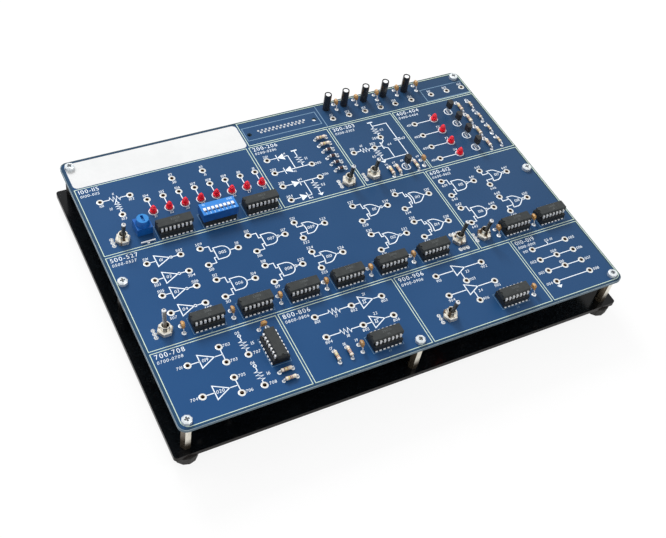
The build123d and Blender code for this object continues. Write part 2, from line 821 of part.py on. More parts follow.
# Resistors and diodes lying on the board, each on two bent leads
lying_level = board_top + lying_height
resistor_drawing = [(x, y, spacing, (1, 0, 0)) for x, y, spacing in flat_resistors]
resistor_drawing += [(x, y, spacing, (0, 1, 0)) for x, y, spacing in upright_resistors]
resistor_drawing += [(lamp_resistor_x, y, lamp_resistor_spacing, (0, 1, 0)) for y in lamp_resistor_rows]
small_drawing = [(small_resistor_x, y, small_resistor_spacing, (0, 1, 0)) for y in lamp_resistor_rows]
diode_drawing = [(x, y, diode_spacing, (1, 0, 0)) for x, y in flat_diodes]


def lying_bodies(drawing, length, diameter):
    """The lying bodies of a drawing, all of one size."""
    bodies = []
    for x, y, _, along in drawing:
        start = Vector(*on_board(x, y), lying_level) - Vector(*along) * length / 2
        with BuildPart() as body:
            with BuildSketch(Plane(origin=start, x_dir=(0, 0, 1), z_dir=along)):
                RegularPolygon(diameter / 2, turned_sides)
            extrude(amount=length)
        bodies.append(body.part)
    return bodies


def bent_lead(x, y, outward, spacing, body_length):
    """One lead of a lying body: out of its end, then down to the board."""
    half_wire = wire_side / 2
    across = Vector(0, 0, 1).cross(outward)
    origin = Vector(*on_board(x, y), board_top) - across * half_wire
    with BuildPart() as lead:
        with BuildSketch(Plane(origin=origin, x_dir=outward, z_dir=-across)):
            with BuildLine():
                Polyline(
                    (body_length / 2, lying_height + half_wire),
                    (spacing / 2 + half_wire, lying_height + half_wire),
                    (spacing / 2 + half_wire, 0),
                    (spacing / 2 - half_wire, 0),
                    close=True,
                )
            make_face()
        extrude(amount=-wire_side)
    return lead.part


def lead_row(drawing, body_length):
    """Both leads of each lying body in a drawing."""
    return [
        bent_lead(x, y, Vector(*along) * side, spacing, body_length)
        for x, y, spacing, along in drawing
        for side in (-1, 1)
    ]


large_resistors = lying_bodies(resistor_drawing, resistor_length, resistor_diameter)
small_resistors = lying_bodies(small_drawing, small_resistor_length, small_resistor_diameter)
keep_group(large_resistors + small_resistors, "resistors")
keep_group(lying_bodies(diode_drawing, diode_length, diode_diameter), "diodes")
resistor_leads = lead_row(resistor_drawing, resistor_length) + lead_row(small_drawing, small_resistor_length)
keep_group(resistor_leads + lead_row(diode_drawing, diode_length), "bent_leads")

# Transistors: a short column with one flat side, on three leads
transistor_centres = [on_board(x, y) for x, y in transistor_places]
transistor_radius = transistor_width / 2

with BuildPart() as transistors:
    with BuildSketch(Plane.XY.offset(board_top + transistor_lift)):
        with Locations(*transistor_centres):
            RegularPolygon(transistor_radius, 10)
        with Locations(*[(x - transistor_depth, y) for x, y in transistor_centres]):
            Rectangle(transistor_width, transistor_width, mode=Mode.SUBTRACT)
    extrude(amount=transistor_height)
keep(transistors, "transistors")

with BuildPart() as transistor_leads:
    with BuildSketch(Plane.XY.offset(board_top)):
        for x, y in transistor_centres:
            with Locations((x, y)):
                with GridLocations(0, pin_pitch / 2, 1, 3):
                    Rectangle(wire_side, wire_side)
    extrude(amount=transistor_lift)
keep(transistor_leads, "transistor_leads")

# Rear connector: flanged metal shell, insulator, contacts and jack screws
connector_mid_x = on_board(connector_x, 0)[0]
connector_flange_length = connector_hole_spacing + 2 * connector_flange_margin
board_rear = board_depth / 2 - middle_y
connector_level = board_bottom - connector_flange_height / 2
flange_front = board_rear - connector_flange_inset
flange_rear = flange_front + connector_flange_thickness
shell_end = board_rear + connector_reach


def connector_plane(y):
    """An upright plane across the connector that looks to the rear."""
    return Plane(origin=(connector_mid_x, y, connector_level), x_dir=(-1, 0, 0), z_dir=(0, 1, 0))


def shell_face(y, inset):
    """The D outline of the shell at one depth, its wider side up."""
    half_length = connector_shell_length / 2 - inset
    half_height = connector_shell_height / 2 - inset
    slope = 2 * half_height * sin(radians(connector_shell_slope))
    with BuildSketch(connector_plane(y)) as outline:
        with BuildLine():
            Polyline(
                (-half_length, half_height),
                (half_length, half_height),
                (half_length - slope, -half_height),
                (-half_length + slope, -half_height),
                close=True,
            )
        make_face()
        chamfer(outline.vertices(), connector_shell_corner - inset)
    return outline.sketch


outer_shell = shell_face(flange_rear, 0)
inner_shell = shell_face(flange_front, connector_shell_wall)
insulator_face = shell_face(flange_front, connector_shell_wall + connector_fit)

with BuildPart() as connector_shell:
    with BuildSketch(connector_plane(flange_front)):
        flange = Rectangle(connector_flange_length, connector_flange_height)
        chamfer(flange.vertices(), connector_flange_corner)
        with GridLocations(connector_hole_spacing, 0, 2, 1):
            RegularPolygon(jackscrew_thread / 2 + screw_clearance, turned_sides, mode=Mode.SUBTRACT)
    extrude(amount=connector_flange_thickness)
    extrude(outer_shell, amount=shell_end - flange_rear)
    extrude(inner_shell, amount=shell_end - flange_front, mode=Mode.SUBTRACT)
keep(connector_shell, "connector_shell")

# Insulator: a block under the board behind the flange, and a tongue that fills the shell
with BuildPart() as connector_insulator:
    with BuildSketch(connector_plane(flange_front)):
        Rectangle(connector_body_length, connector_body_height)
    extrude(amount=-connector_body_depth)
    extrude(insulator_face, amount=shell_end - flange_front - connector_recess)
keep(connector_insulator, "connector_insulator")

# Contacts: out of the back of the insulator, then up to the board, the farther row from the lower level
block_rear = flange_front - connector_body_depth
contacts = []
for row_y, count, level in zip(contact_rows, contact_counts, contact_levels):
    for i in range(count):
        contact_x = connector_mid_x + (i - (count - 1) / 2) * contact_pitch
        row_back = block_rear - on_board(0, row_y)[1]
        rise = board_bottom - connector_level - level
        with BuildPart() as contact:
            with BuildSketch(
                Plane(
                    origin=(contact_x - contact_side / 2, block_rear, connector_level + level),
                    x_dir=(0, -1, 0),
                    z_dir=(-1, 0, 0),
                )
            ):
                with BuildLine():
                    Polyline(
                        (0, contact_side / 2),
                        (0, -contact_side / 2),
                        (row_back + contact_side / 2, -contact_side / 2),
                        (row_back + contact_side / 2, rise),
                        (row_back - contact_side / 2, rise),
                        (row_back - contact_side / 2, contact_side / 2),
                        close=True,
                    )
                make_face()
            extrude(amount=-contact_side)
        contacts.append(contact.part)
keep_group(contacts, "connector_contacts")

# Jack screws: hexagonal posts outside the flange, tapped for the plug's screws, with a shank through it
with BuildPart() as jack_screws:
    with BuildSketch(connector_plane(flange_rear)):
        with GridLocations(connector_hole_spacing, 0, 2, 1):
            RegularPolygon(jackscrew_flats / 2, 6, major_radius=False)
    extrude(amount=jackscrew_length)
    with BuildSketch(connector_plane(flange_rear)):
        with GridLocations(connector_hole_spacing, 0, 2, 1):
            RegularPolygon(jackscrew_thread / 2, turned_sides)
    extrude(amount=-connector_flange_thickness)
    with BuildSketch(connector_plane(flange_rear + jackscrew_length)):
        with GridLocations(connector_hole_spacing, 0, 2, 1):
            Circle(jackscrew_bore / 2)
    extrude(amount=-jackscrew_bore_depth, mode=Mode.SUBTRACT)
keep(jack_screws, "jack_screws")
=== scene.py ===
import math
import random
from collections import namedtuple

import bmesh
import bpy
from mathutils import Matrix, Vector

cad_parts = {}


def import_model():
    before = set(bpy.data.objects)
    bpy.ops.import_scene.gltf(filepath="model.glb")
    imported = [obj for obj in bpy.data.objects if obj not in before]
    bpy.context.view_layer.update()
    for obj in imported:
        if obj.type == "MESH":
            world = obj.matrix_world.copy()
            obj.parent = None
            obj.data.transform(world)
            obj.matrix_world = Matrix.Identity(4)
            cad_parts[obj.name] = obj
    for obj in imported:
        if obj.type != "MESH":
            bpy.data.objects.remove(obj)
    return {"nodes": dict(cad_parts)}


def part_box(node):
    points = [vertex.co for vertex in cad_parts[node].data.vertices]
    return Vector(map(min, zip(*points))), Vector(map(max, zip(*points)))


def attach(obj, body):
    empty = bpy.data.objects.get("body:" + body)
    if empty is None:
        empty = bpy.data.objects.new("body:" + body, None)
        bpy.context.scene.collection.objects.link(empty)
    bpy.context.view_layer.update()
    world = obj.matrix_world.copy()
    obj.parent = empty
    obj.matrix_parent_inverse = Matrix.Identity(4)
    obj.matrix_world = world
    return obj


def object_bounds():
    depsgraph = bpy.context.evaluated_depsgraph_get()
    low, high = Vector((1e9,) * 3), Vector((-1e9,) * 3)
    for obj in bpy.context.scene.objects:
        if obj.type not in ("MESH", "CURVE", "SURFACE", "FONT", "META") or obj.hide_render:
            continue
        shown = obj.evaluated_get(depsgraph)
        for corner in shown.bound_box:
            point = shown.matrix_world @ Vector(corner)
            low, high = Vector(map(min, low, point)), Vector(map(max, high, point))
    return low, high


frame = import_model()
cad_low, cad_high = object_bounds()
nodes = frame["nodes"]
random.seed(11)

MM = 0.001
PRINT = 1.015 * MM            # one unit of the board's printed layout
UP = Vector((0, 0, 1))
WELD = 1e-6                   # corners nearer than this are one
FOOT_REACH = 0.35 * MM        # what lies this near the board's top is the foot of a pin

board_low, board_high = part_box("circuit_board")
base_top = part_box("base_plate")[1].z
socket_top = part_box("sockets_14")[1].z
BOARD_TOP = board_high.z
DATUM = Vector((board_low.x + 0.22 * MM, board_low.y + 0.80 * MM, BOARD_TOP))


# ---------------------------------------------------------------- materials

DARK_REFLECTION_SIDE = (-0.58, -0.81, 0.0)         # ways that faces with the painted dark reflection, the painted light and the painted highlight look
PAINTED_LIGHT_SIDE = (-0.85, 0.50, 0.0)
FRONT_FACET = (-0.20, -0.98, 0.0)
RIM = 2.4 * MM                # how far the board's bare rim reaches in
RIM_FADE = 0.5 * MM
COARSE, FINE = 0.0002, 0.00005          # depths of bumps
BRIGHT_LEVER = 2              # the lever whose shank is painted lighter all over, as a painted reflection
# shank colours: dark, light, and the painted light on the lit side; the first set is a lighter painted copy
# for that one lever
LIT_SHANK = ((0.19, 0.175, 0.16), (0.43, 0.40, 0.36), (0.78, 0.79, 0.80))
UNLIT_SHANK = ((0.030, 0.030, 0.026), (0.072, 0.070, 0.060), (0.15, 0.15, 0.14))


class Graph:
    """A node tree, with the few kinds of node that the finishes are made of."""

    def __init__(self, tree):
        self.tree = tree

    def feed(self, socket, value):
        """Gives a socket another node's output or a plain value."""
        if isinstance(value, bpy.types.NodeSocket):
            self.tree.links.new(value, socket)
        else:
            socket.default_value = value

    def node(self, kind, *values, operation=None, **named):
        """A new node; values go to its inputs in order, named ones by name."""
        made = self.tree.nodes.new("ShaderNode" + kind)
        if operation:
            made.operation = operation
        if kind == "Mix":
            made.data_type = "RGBA"
        for socket, value in [*zip(made.inputs, values), *((made.inputs[n], v) for n, v in named.items())]:
            self.feed(socket, value)
        return made

    def spread(self, value, low, high, out_low=0.0, out_high=1.0):
        """Maps a value from one range to another, held within it."""
        return self.node("MapRange", value, low, high, out_low, out_high).outputs["Result"]

    def blend(self, factor, first, second):
        """Mixes two colours, each a tuple or another node's output."""
        first, second = ((*c, 1.0) if isinstance(c, tuple) else c for c in (first, second))
        return self.node("Mix", Factor=factor, A=first, B=second).outputs["Result"]

    def joined(self, operation, first, second):
        """A value worked out of two others."""
        return self.node("Math", first, second, operation=operation).outputs["Value"]

    def noise(self, scale, detail=4.0, rough=0.55, stretch=(1, 1, 1)):
        """Noise over the surface, in the object's coordinates in metres."""
        place = self.node("TexCoord").outputs["Object"]
        vector = self.node("Mapping", Vector=place, Scale=stretch).outputs["Vector"]
        made = self.node("TexNoise", Vector=vector, Scale=scale, Detail=detail, Roughness=rough)
        return made.outputs["Fac"]

    def cloud(self, scale, detail=4.0, stretch=(1, 1, 1)):
        """Noise drawn out over the whole range from 0 to 1."""
        return self.spread(self.noise(scale, detail, stretch=stretch), 0.3, 0.7)

    def axis(self, vector, letter):
        return self.node("SeparateXYZ", vector).outputs[letter]

    def along(self, letter):
        """The place along one axis of the object, in metres."""
        return self.axis(self.node("TexCoord").outputs["Object"], letter)

    def upward(self, low=0.5, high=0.9):
        """One on faces that look up, nought on upright faces."""
        return self.spread(self.axis(self.node("NewGeometry").outputs["Normal"], "Z"), low, high)

    def facing(self, direction, low, high):
        """How far a face of the object looks in a direction, from 0 to 1."""
        normal, way = self.node("TexCoord").outputs["Normal"], Vector(direction).normalized()
        toward = self.node("VectorMath", normal, way, operation="DOT_PRODUCT").outputs["Value"]
        return self.spread(toward, low, high)


class Finish(Graph):
    """A new material with a principled shader."""

    def __init__(self, name):
        self.mat = bpy.data.materials.new(name)
        self.mat.use_nodes = True
        super().__init__(self.mat.node_tree)
        self.bsdf = self.tree.nodes["Principled BSDF"]

    def done(self, colour, rough, metal=0.0, grain=(), more=()):
        """Feeds the shader; grain is a value with the strength and depth of its bump."""
        inputs = {"Base Color": colour, "Roughness": rough, "Metallic": metal, **dict(more)}
        if grain:
            height, strength, depth = grain
            bump = self.node("Bump", Height=height, Strength=strength, Distance=depth)
            inputs["Normal"] = bump.outputs["Normal"]
        for name, value in inputs.items():
            self.feed(self.bsdf.inputs[name], value)
        return self.mat


def plain_material(name, dark, light, rough, metal=0.0, scale=600.0, grain=0.15, coat=0.0):
    """A finish with a slight drift of colour, an uneven sheen and a fine grain."""
    f = Finish(name)
    fine = f.noise(scale * 3)
    gloss = f.spread(fine, 0.25, 0.75, rough * 0.75, min(1.0, rough * 1.3))
    coating = {"Coat Weight": coat, "Coat Roughness": 0.12}
    return f.done(f.blend(f.cloud(scale * 0.25), dark, light), gloss, metal, (fine, grain, COARSE), coating)


def in_rim(f):
    """How far a point lies in the rim outside the panels' frames, from 0 to 1."""
    edges = (("X", board_low.x, 1), ("X", board_high.x, -1), ("Y", board_low.y, 1), ("Y", board_high.y, -1))
    found = None
    for axis, edge, inward in edges:
        part = f.spread(f.along(axis), edge + RIM * inward, edge + (RIM - RIM_FADE) * inward)
        found = part if found is None else f.joined("MAXIMUM", found, part)
    return found


def board_material():
    """Blue solder mask on glass laminate, whose sawn edge shows grey-blue; the mask is painted darker and
    greyer toward the right and the rear as painted shade.
    """
    f = Finish("blue_mask")
    broad = f.spread(f.noise(14, 2), 0.35, 0.65)
    weave = f.noise(900, 3)
    # painted shade: the mask and its rim grow darker and greyer toward the right and the rear
    away = f.joined("ADD", f.spread(f.along("X"), board_low.x, board_high.x, 0.0, 0.55),
                    f.spread(f.along("Y"), board_low.y, board_high.y, 0.0, 0.45))
    left = f.blend(broad, (0.009, 0.060, 0.178), (0.013, 0.070, 0.198))
    right = f.blend(broad, (0.0135, 0.043, 0.094), (0.0185, 0.050, 0.107))
    rim = f.blend(away, (0.0125, 0.053, 0.115), (0.0185, 0.039, 0.064))
    mask = f.blend(in_rim(f), f.blend(away, left, right), rim)
    edge = f.blend(weave, (0.045, 0.085, 0.12), (0.14, 0.20, 0.24))
    gloss = f.spread(broad, 0, 1, 0.34, 0.46)
    sheen = {"Specular IOR Level": 0.22}
    return f.done(f.blend(f.upward(), edge, mask), gloss, grain=(weave, 0.05, FINE), more=sheen)


def base_material():
    """Glossy black acrylic, hazed with fine scuffs, its cut edge a dull warm grey."""
    f = Finish("black_acrylic")
    haze = f.spread(f.noise(30, 6, 0.7), 0.35, 0.75)
    scuffs = f.spread(f.noise(220, 3, stretch=(1, 14, 1)), 0.58, 0.75)
    face = f.blend(haze, (0.001, 0.0014, 0.002), (0.004, 0.0048, 0.006))
    edge = f.blend(f.noise(400, 3), (0.010, 0.009, 0.009), (0.032, 0.028, 0.026))
    top = f.upward()
    sheen = {"Specular IOR Level": f.spread(top, 0, 1, 0.06, 0.27)}
    gloss = f.spread(scuffs, 0, 1, 0.16, 0.42)
    return f.done(f.blend(top, edge, face), gloss, grain=(scuffs, 0.04, 2 * FINE), more=sheen)


def pillar_material():
    """Nickelled brass with a painted highlight on the facets to the front and painted shade in brown on the
    others, brown toward the foot, and painted shade near black behind the front row.
    """
    f = Finish("nickel_pillar")
    upright = (1, 1, 0.3)
    worn = f.spread(f.noise(350, 5, stretch=upright), 0.35, 0.7)
    highlight_facet = f.blend(worn, (0.72, 0.68, 0.58), (0.88, 0.85, 0.76))
    brown = f.blend(worn, (0.075, 0.058, 0.038), (0.155, 0.125, 0.088))
    # painted highlight on the facets to the front, painted shade in brown on the other facets
    sides = f.blend(f.facing(FRONT_FACET, 0.75, 0.92), brown, highlight_facet)
    foot = f.spread(f.along("Z"), base_top + 3 * MM, base_top + 11 * MM)
    # painted shade: near black on the pillars behind the front row, under the board
    inner = f.spread(f.along("Y"), board_low.y + 20 * MM, board_low.y + 40 * MM)
    colour = f.blend(inner, f.blend(foot, brown, sides), (0.022, 0.021, 0.020))
    grain = (f.noise(2500, 2, stretch=upright), 0.05, COARSE)
    return f.done(colour, f.spread(worn, 0, 1, 0.34, 0.20), 0.75, grain)


def scaled(colour, by):
    return tuple(by * v for v in colour)


def capped_material(name, side, top, rough):
    """Moulded plastic whose top is painted paler than its sides, as painted light."""
    f = Finish(name)
    drift = f.cloud(260, 3)
    unlit_sides = f.blend(drift, side, scaled(side, 1.3))
    # painted light: the top's colour, paler than the sides
    cap = f.blend(drift, top, scaled(top, 1.12))
    fine = f.noise(1800)
    gloss = f.spread(fine, 0.25, 0.75, rough * 0.8, rough * 1.2)
    return f.done(f.blend(f.upward(), unlit_sides, cap), gloss, grain=(fine, 0.1, FINE))


def steel_material(name, dark, light, rough):
    """Bright plated metal with fine turning lines."""
    f = Finish(name)
    fine = f.noise(2200, 3, stretch=(1, 1, 6))
    gloss = f.spread(fine, 0.3, 0.7, rough * 0.7, rough * 1.4)
    return f.done(f.blend(f.cloud(500, 5), dark, light), gloss, 1.0, (fine, 0.12, FINE))


def leg_material():
    """Tinned legs, with a painted highlight on the shoulder where faces look up, and painted shade near
    black where they enter the socket.
    """
    f = Finish("leg_tin")
    worn = f.cloud(1200)
    upright = f.blend(worn, (0.74, 0.76, 0.78), (0.90, 0.91, 0.92))
    lit_shoulder = f.blend(worn, (0.86, 0.87, 0.88), (0.97, 0.98, 0.98))
    # painted highlight on faces that look up
    lit = f.blend(f.upward(0.10, 0.35), upright, lit_shoulder)
    # painted shade: near black where the legs enter the socket, under the chip
    clear = f.spread(f.along("Z"), socket_top + 0.3 * MM, socket_top + 1.2 * MM)
    colour = f.blend(clear, (0.06, 0.065, 0.07), lit)
    return f.done(colour, f.spread(worn, 0, 1, 0.28, 0.42), 0.20, (worn, 0.05, FINE))


def lamp_material():
    """Deep red moulded epoxy, part clear, lighter at the thin rim."""
    f = Finish("red_epoxy")
    cloud = f.cloud(420, 3)
    colour = f.blend(cloud, (0.86, 0.010, 0.030), (0.95, 0.030, 0.060))
    depth = {"Transmission Weight": 0.10, "Subsurface Weight": 0.6,
             "Subsurface Radius": (1.0, 0.15, 0.15), "Subsurface Scale": 0.004}
    return f.done(colour, f.spread(cloud, 0, 1, 0.18, 0.30), 0.0, (f.noise(1500, 2), 0.03, COARSE), depth)


def glass_material():
    """The brown-red glass of the small diodes."""
    f = Finish("diode_glass")
    cloud = f.cloud(700, 3)
    colour = f.blend(cloud, (0.022, 0.010, 0.012), (0.120, 0.042, 0.045))
    return f.done(colour, f.spread(cloud, 0, 1, 0.10, 0.25), more={"Transmission Weight": 0.3})


def floor_material():
    """Pale painted table top, slightly uneven; it is near white, so its shadow stays light."""
    f = Finish("pale_floor")
    cloud = f.noise(3, 2)
    f.done(f.blend(cloud, (0.90, 0.90, 0.90), (0.93, 0.93, 0.93)), f.spread(cloud, 0, 1, 0.7, 0.85))
    seen = f.node("LightPath").outputs
    direct = f.joined("MAXIMUM", seen["Is Camera Ray"], seen["Is Glossy Ray"])
    clear = f.spread(f.joined("MAXIMUM", direct, seen["Is Transmission Ray"]), 0, 1, 0.0, 0.88)
    glow = f.node("Emission").outputs["Emission"]
    mixed = f.node("MixShader", clear, f.bsdf.outputs["BSDF"], glow)
    f.feed(f.tree.nodes["Material Output"].inputs["Surface"], mixed.outputs["Shader"])
    return f.mat


def streaked_material(name, dark, light, share, rough=0.28):
    """Plated metal with brown upright streaks, and a painted dark reflection on the side toward the camera.
    """
    f = Finish(name)
    streak = f.spread(f.noise(420, 2, 0.4, (1, 1, 0.04)), share, share + 0.10)
    worn = f.cloud(900)
    bright = f.blend(worn, light, scaled(light, 0.86))
    # painted dark reflection on faces that look toward the camera
    dark_reflection = f.blend(f.facing(DARK_REFLECTION_SIDE, 0.84, 0.96), bright, scaled(light, 0.30))
    gloss = f.spread(worn, 0, 1, rough * 0.8, rough * 1.3)
    return f.done(f.blend(streak, dark, dark_reflection), gloss, 0.65, (worn, 0.08, FINE))


def lever_material(name, tip, dark, light, lit):
    """Plated steel with painted light on the side toward the left, whose rounded tip has a painted highlight
    in a ring round a painted dark reflection in its middle.
    """
    f = Finish(name)
    place = f.node("TexCoord").outputs["Object"]
    away = f.node("VectorMath", place, tip, operation="DISTANCE").outputs["Value"]
    worn = f.cloud(700, stretch=(1, 1, 0.2))
    # painted light on the shank's side toward the left
    shank = f.blend(f.facing(PAINTED_LIGHT_SIDE, 0.10, 0.80), f.blend(worn, dark, light), lit)
    bright = f.blend(worn, (0.86, 0.88, 0.90), (0.96, 0.97, 0.98))
    # painted highlight in a ring near the tip, and a painted dark reflection in its middle
    with_tip_highlight = f.blend(f.spread(away, 1.75 * MM, 1.45 * MM), shank, bright)
    colour = f.blend(f.spread(away, 0.70 * MM, 0.45 * MM), with_tip_highlight, (0.14, 0.15, 0.16))
    return f.done(colour, f.spread(worn, 0, 1, 0.26, 0.42), 0.6)


PLAIN = {
    # dark and light colour, roughness, metal, scale, grain, coat
    "screw_zinc": ((0.66, 0.72, 0.76), (0.90, 0.94, 0.96), 0.24, 0.55, 700),
    "black_mould": ((0.004, 0.006, 0.008), (0.010, 0.012, 0.015), 0.5, 0, 900, 0.2),
    "chip_mould": ((0.016, 0.019, 0.020), (0.028, 0.032, 0.032), 0.6, 0, 1200, 0.3),
    "sign_ink": ((0.70, 0.78, 0.86), (0.86, 0.90, 0.93), 0.55, 0, 500, 0.1),
    "white_ink": ((0.615, 0.622, 0.622), (0.648, 0.654, 0.654), 0.5, 0, 300, 0.1),
    "frame_ink": ((0.50, 0.64, 0.54), (0.64, 0.75, 0.62), 0.55, 0, 500, 0.1),
    # the arris: painted paler on the near sides as painted light, duller on the far sides as painted shade
    "arris_lit": ((0.14, 0.19, 0.23), (0.34, 0.41, 0.43), 0.6, 0, 900, 0.2),
    "arris_shaded": ((0.050, 0.075, 0.085), (0.10, 0.135, 0.14), 0.6, 0, 900, 0.2),
    "faint_ink": ((0.12, 0.22, 0.33), (0.18, 0.29, 0.41), 0.55, 0, 500, 0.1),
    "barrel_copper": ((0.060, 0.034, 0.018), (0.20, 0.115, 0.060), 0.5, 0.3),
    "solder": ((0.80, 0.84, 0.87), (0.94, 0.96, 0.97), 0.26, 0.35, 900),
    # painted shade in the screw heads and the connector's holes, and the diodes' own dark band
    "painted_shade_and_band": ((0.030, 0.035, 0.042), (0.090, 0.100, 0.110), 0.5),
    "pin_tin": ((0.86, 0.88, 0.90), (0.95, 0.96, 0.97), 0.35, 0.10),
    "lead_tin": ((0.72, 0.75, 0.79), (0.93, 0.95, 0.97), 0.30, 0.45),
    "chip_ink": ((0.060, 0.068, 0.070), (0.110, 0.120, 0.120), 0.5, 0, 900),
    "switch_ink": ((0.36, 0.60, 0.86), (0.52, 0.74, 0.94), 0.5, 0, 900),
    "resistor_end": ((0.72, 0.61, 0.50), (0.88, 0.81, 0.72), 0.25, 0, 900, 0.15, 0.6),
    "band_brown": ((0.16, 0.055, 0.045), (0.26, 0.095, 0.085), 0.4),
    "band_violet": ((0.24, 0.12, 0.20), (0.38, 0.22, 0.32), 0.4),
    "band_orange": ((0.40, 0.18, 0.090), (0.52, 0.27, 0.140), 0.4),
    "band_gold": ((0.56, 0.48, 0.12), (0.74, 0.68, 0.26), 0.3, 0.3),
    "foot_rubber": ((0.014, 0.013, 0.012), (0.030, 0.028, 0.026), 0.75, 0, 600, 0.4),
    "toggle_body": ((0.30, 0.045, 0.03), (0.40, 0.07, 0.045), 0.4),
    "trimmer_blue": ((0.004, 0.085, 0.34), (0.008, 0.125, 0.44), 0.3, 0, 700),
    "can_aluminium": ((0.84, 0.85, 0.87), (0.95, 0.96, 0.97), 0.35, 0.35),
    "can_sleeve": ((0.008, 0.008, 0.010), (0.016, 0.016, 0.019), 0.3, 0, 600, 0.15, 0.3),
    "ceramic_ochre": ((0.30, 0.155, 0.040), (0.62, 0.33, 0.090), 0.3, 0, 600, 0.15, 0.5),
    "resistor_tan": ((0.58, 0.48, 0.34), (0.76, 0.68, 0.52), 0.3, 0, 900, 0.15, 0.4),
    "transistor_black": ((0.012, 0.012, 0.012), (0.022, 0.022, 0.022), 0.45),
    "contact_gold": ((0.70, 0.46, 0.14), (0.85, 0.62, 0.26), 0.25, 1.0),
    "slider_white": ((0.74, 0.77, 0.80), (0.84, 0.86, 0.88), 0.35),
}
BAND_INKS = ("band_brown", "band_violet", "band_orange", "band_gold")
plain = {name: plain_material(name, *row) for name, row in PLAIN.items()}
steel = steel_material("bright_nickel", (0.74, 0.74, 0.73), (0.90, 0.90, 0.89), 0.22)
land_tin = steel_material("tinned_land", (0.84, 0.85, 0.83), (0.97, 0.98, 0.95), 0.34)
rotor_blue = capped_material("rotor_blue", (0.003, 0.095, 0.38), (0.019, 0.185, 0.49), 0.35)


def dress(names, finish):
    """Gives a finish to every material slot of the named nodes."""
    for name in names.split():
        for place in nodes[name].material_slots:
            place.material = finish


for names, finish in (
    ("circuit_board", board_material()),
    ("base_plate", base_material()),
    ("rubber_feet", plain["foot_rubber"]),
    ("pillars", pillar_material()),
    ("base_screws connector_shell jack_screws", steel),
    ("board_screws", plain["screw_zinc"]),
    ("sockets_14 sockets_16 connector_insulator", plain["black_mould"]),
    ("logic_chips_14 logic_chips_16", plain["chip_mould"]),
    ("chip_legs", leg_material()),
    ("switch_housing", capped_material("switch_blue", (0.004, 0.070, 0.28), (0.024, 0.185, 0.55), 0.40)),
    ("toggle_bodies", plain["toggle_body"]),
    ("toggle_bushings", streaked_material("bushing_nickel", (0.10, 0.065, 0.035), (0.95, 0.91, 0.80), 0.35)),
    ("toggle_nuts", streaked_material("nut_nickel", (0.16, 0.10, 0.055), (0.96, 0.92, 0.82), 0.34)),
    ("toggle_terminals", plain["solder"]),
    ("trimmer_housing", plain["trimmer_blue"]),
    ("trimmer_rotor", rotor_blue),
    ("wire_link ceramic_leads bent_leads", plain["lead_tin"]),
    ("indicator_lamps", lamp_material()),
    ("capacitor_cans", plain["can_aluminium"]),
    ("capacitor_sleeves", plain["can_sleeve"]),
    ("ceramic_capacitors", plain["ceramic_ochre"]),
    ("resistors", plain["resistor_tan"]),
    ("diodes", glass_material()),
    ("transistors", plain["transistor_black"]),
    ("transistor_leads", steel_material("tinned_lead", (0.66, 0.67, 0.68), (0.86, 0.87, 0.88), 0.30)),
    ("connector_contacts", plain["contact_gold"]),
    (" ".join(f"slider_{i}" for i in range(1, 9)), plain["slider_white"]),
):
    dress(names, finish)
for i in range(1, 8):
    corners = [v.co for v in nodes[f"lever_{i}"].data.vertices]
    tip_height = max(p.z for p in corners)
    tops = [p for p in corners if p.z > tip_height - 0.35 * MM]
    tones = LIT_SHANK if i == BRIGHT_LEVER else UNLIT_SHANK
    dress(f"lever_{i}", lever_material(f"lever_steel_{i}", sum(tops, Vector()) / len(tops), *tones))


# ---------------------------------------------------------------- shapes

def linked(name, data):
    """A new object in the scene."""
    made = bpy.data.objects.new(name, data)
    bpy.context.scene.collection.objects.link(made)
    return made


def mesh_object(name, bm, mat, smooth=False, flip=False, body="trainer"):
    """Turns a bmesh into a piece that rides on a body."""
    if flip:
        bmesh.ops.reverse_faces(bm, faces=bm.faces)
    mesh = bpy.data.meshes.new(name)
    bm.to_mesh(mesh)
    bm.free()
    piece = linked(name, mesh)
    mesh.materials.append(mat)
    if smooth:
        mesh.polygons.foreach_set("use_smooth", [True] * len(mesh.polygons))
    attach(piece, body)


def linked_groups(name, follow=lambda e: True):
    """Groups of corners of a node's mesh that are joined by the edges that follow() accepts."""
    bm = bmesh.new()
    bm.from_mesh(nodes[name].data)
    bmesh.ops.remove_doubles(bm, verts=bm.verts, dist=WELD)
    groups = []
    for start in bm.verts:
        if start.tag:
            continue
        start.tag = True
        stack, group = [start], []
        while stack:
            v = stack.pop()
            group.append(v.co.copy())
            for e in v.link_edges:
                other = e.other_vert(v)
                if not other.tag and follow(e):
                    other.tag = True
                    stack.append(other)
        groups.append(group)
    bm.free()
    return groups


def solids(*names):
    """The lower and upper corner of every separate solid in some nodes."""
    groups = [group for name in names for group in linked_groups(name)]
    return [[Vector([pick(p[k] for p in g) for k in range(3)]) for pick in (min, max)] for g in groups]


def bores(name):
    """The centre and the radius of every upright hole in a node."""
    found = []
    for group in linked_groups(name, lambda e: any(abs(f.normal.z) < 0.5 for f in e.link_faces)):
        centre = Vector()
        for p in group:
            centre += p / len(group)
        found.append((centre, max((p.xy - centre.xy).length for p in group)))
    return found


def feet(name):
    """Where the pins of a node meet the top of the board."""
    found = []
    for group in linked_groups(name):
        low = [p for p in group if p.z < BOARD_TOP + FOOT_REACH]
        if low:
            middle = Vector((sum(p.x for p in low), sum(p.y for p in low), 0)) / len(low)
            found.append(middle + Vector((0, 0, BOARD_TOP)))
    return found


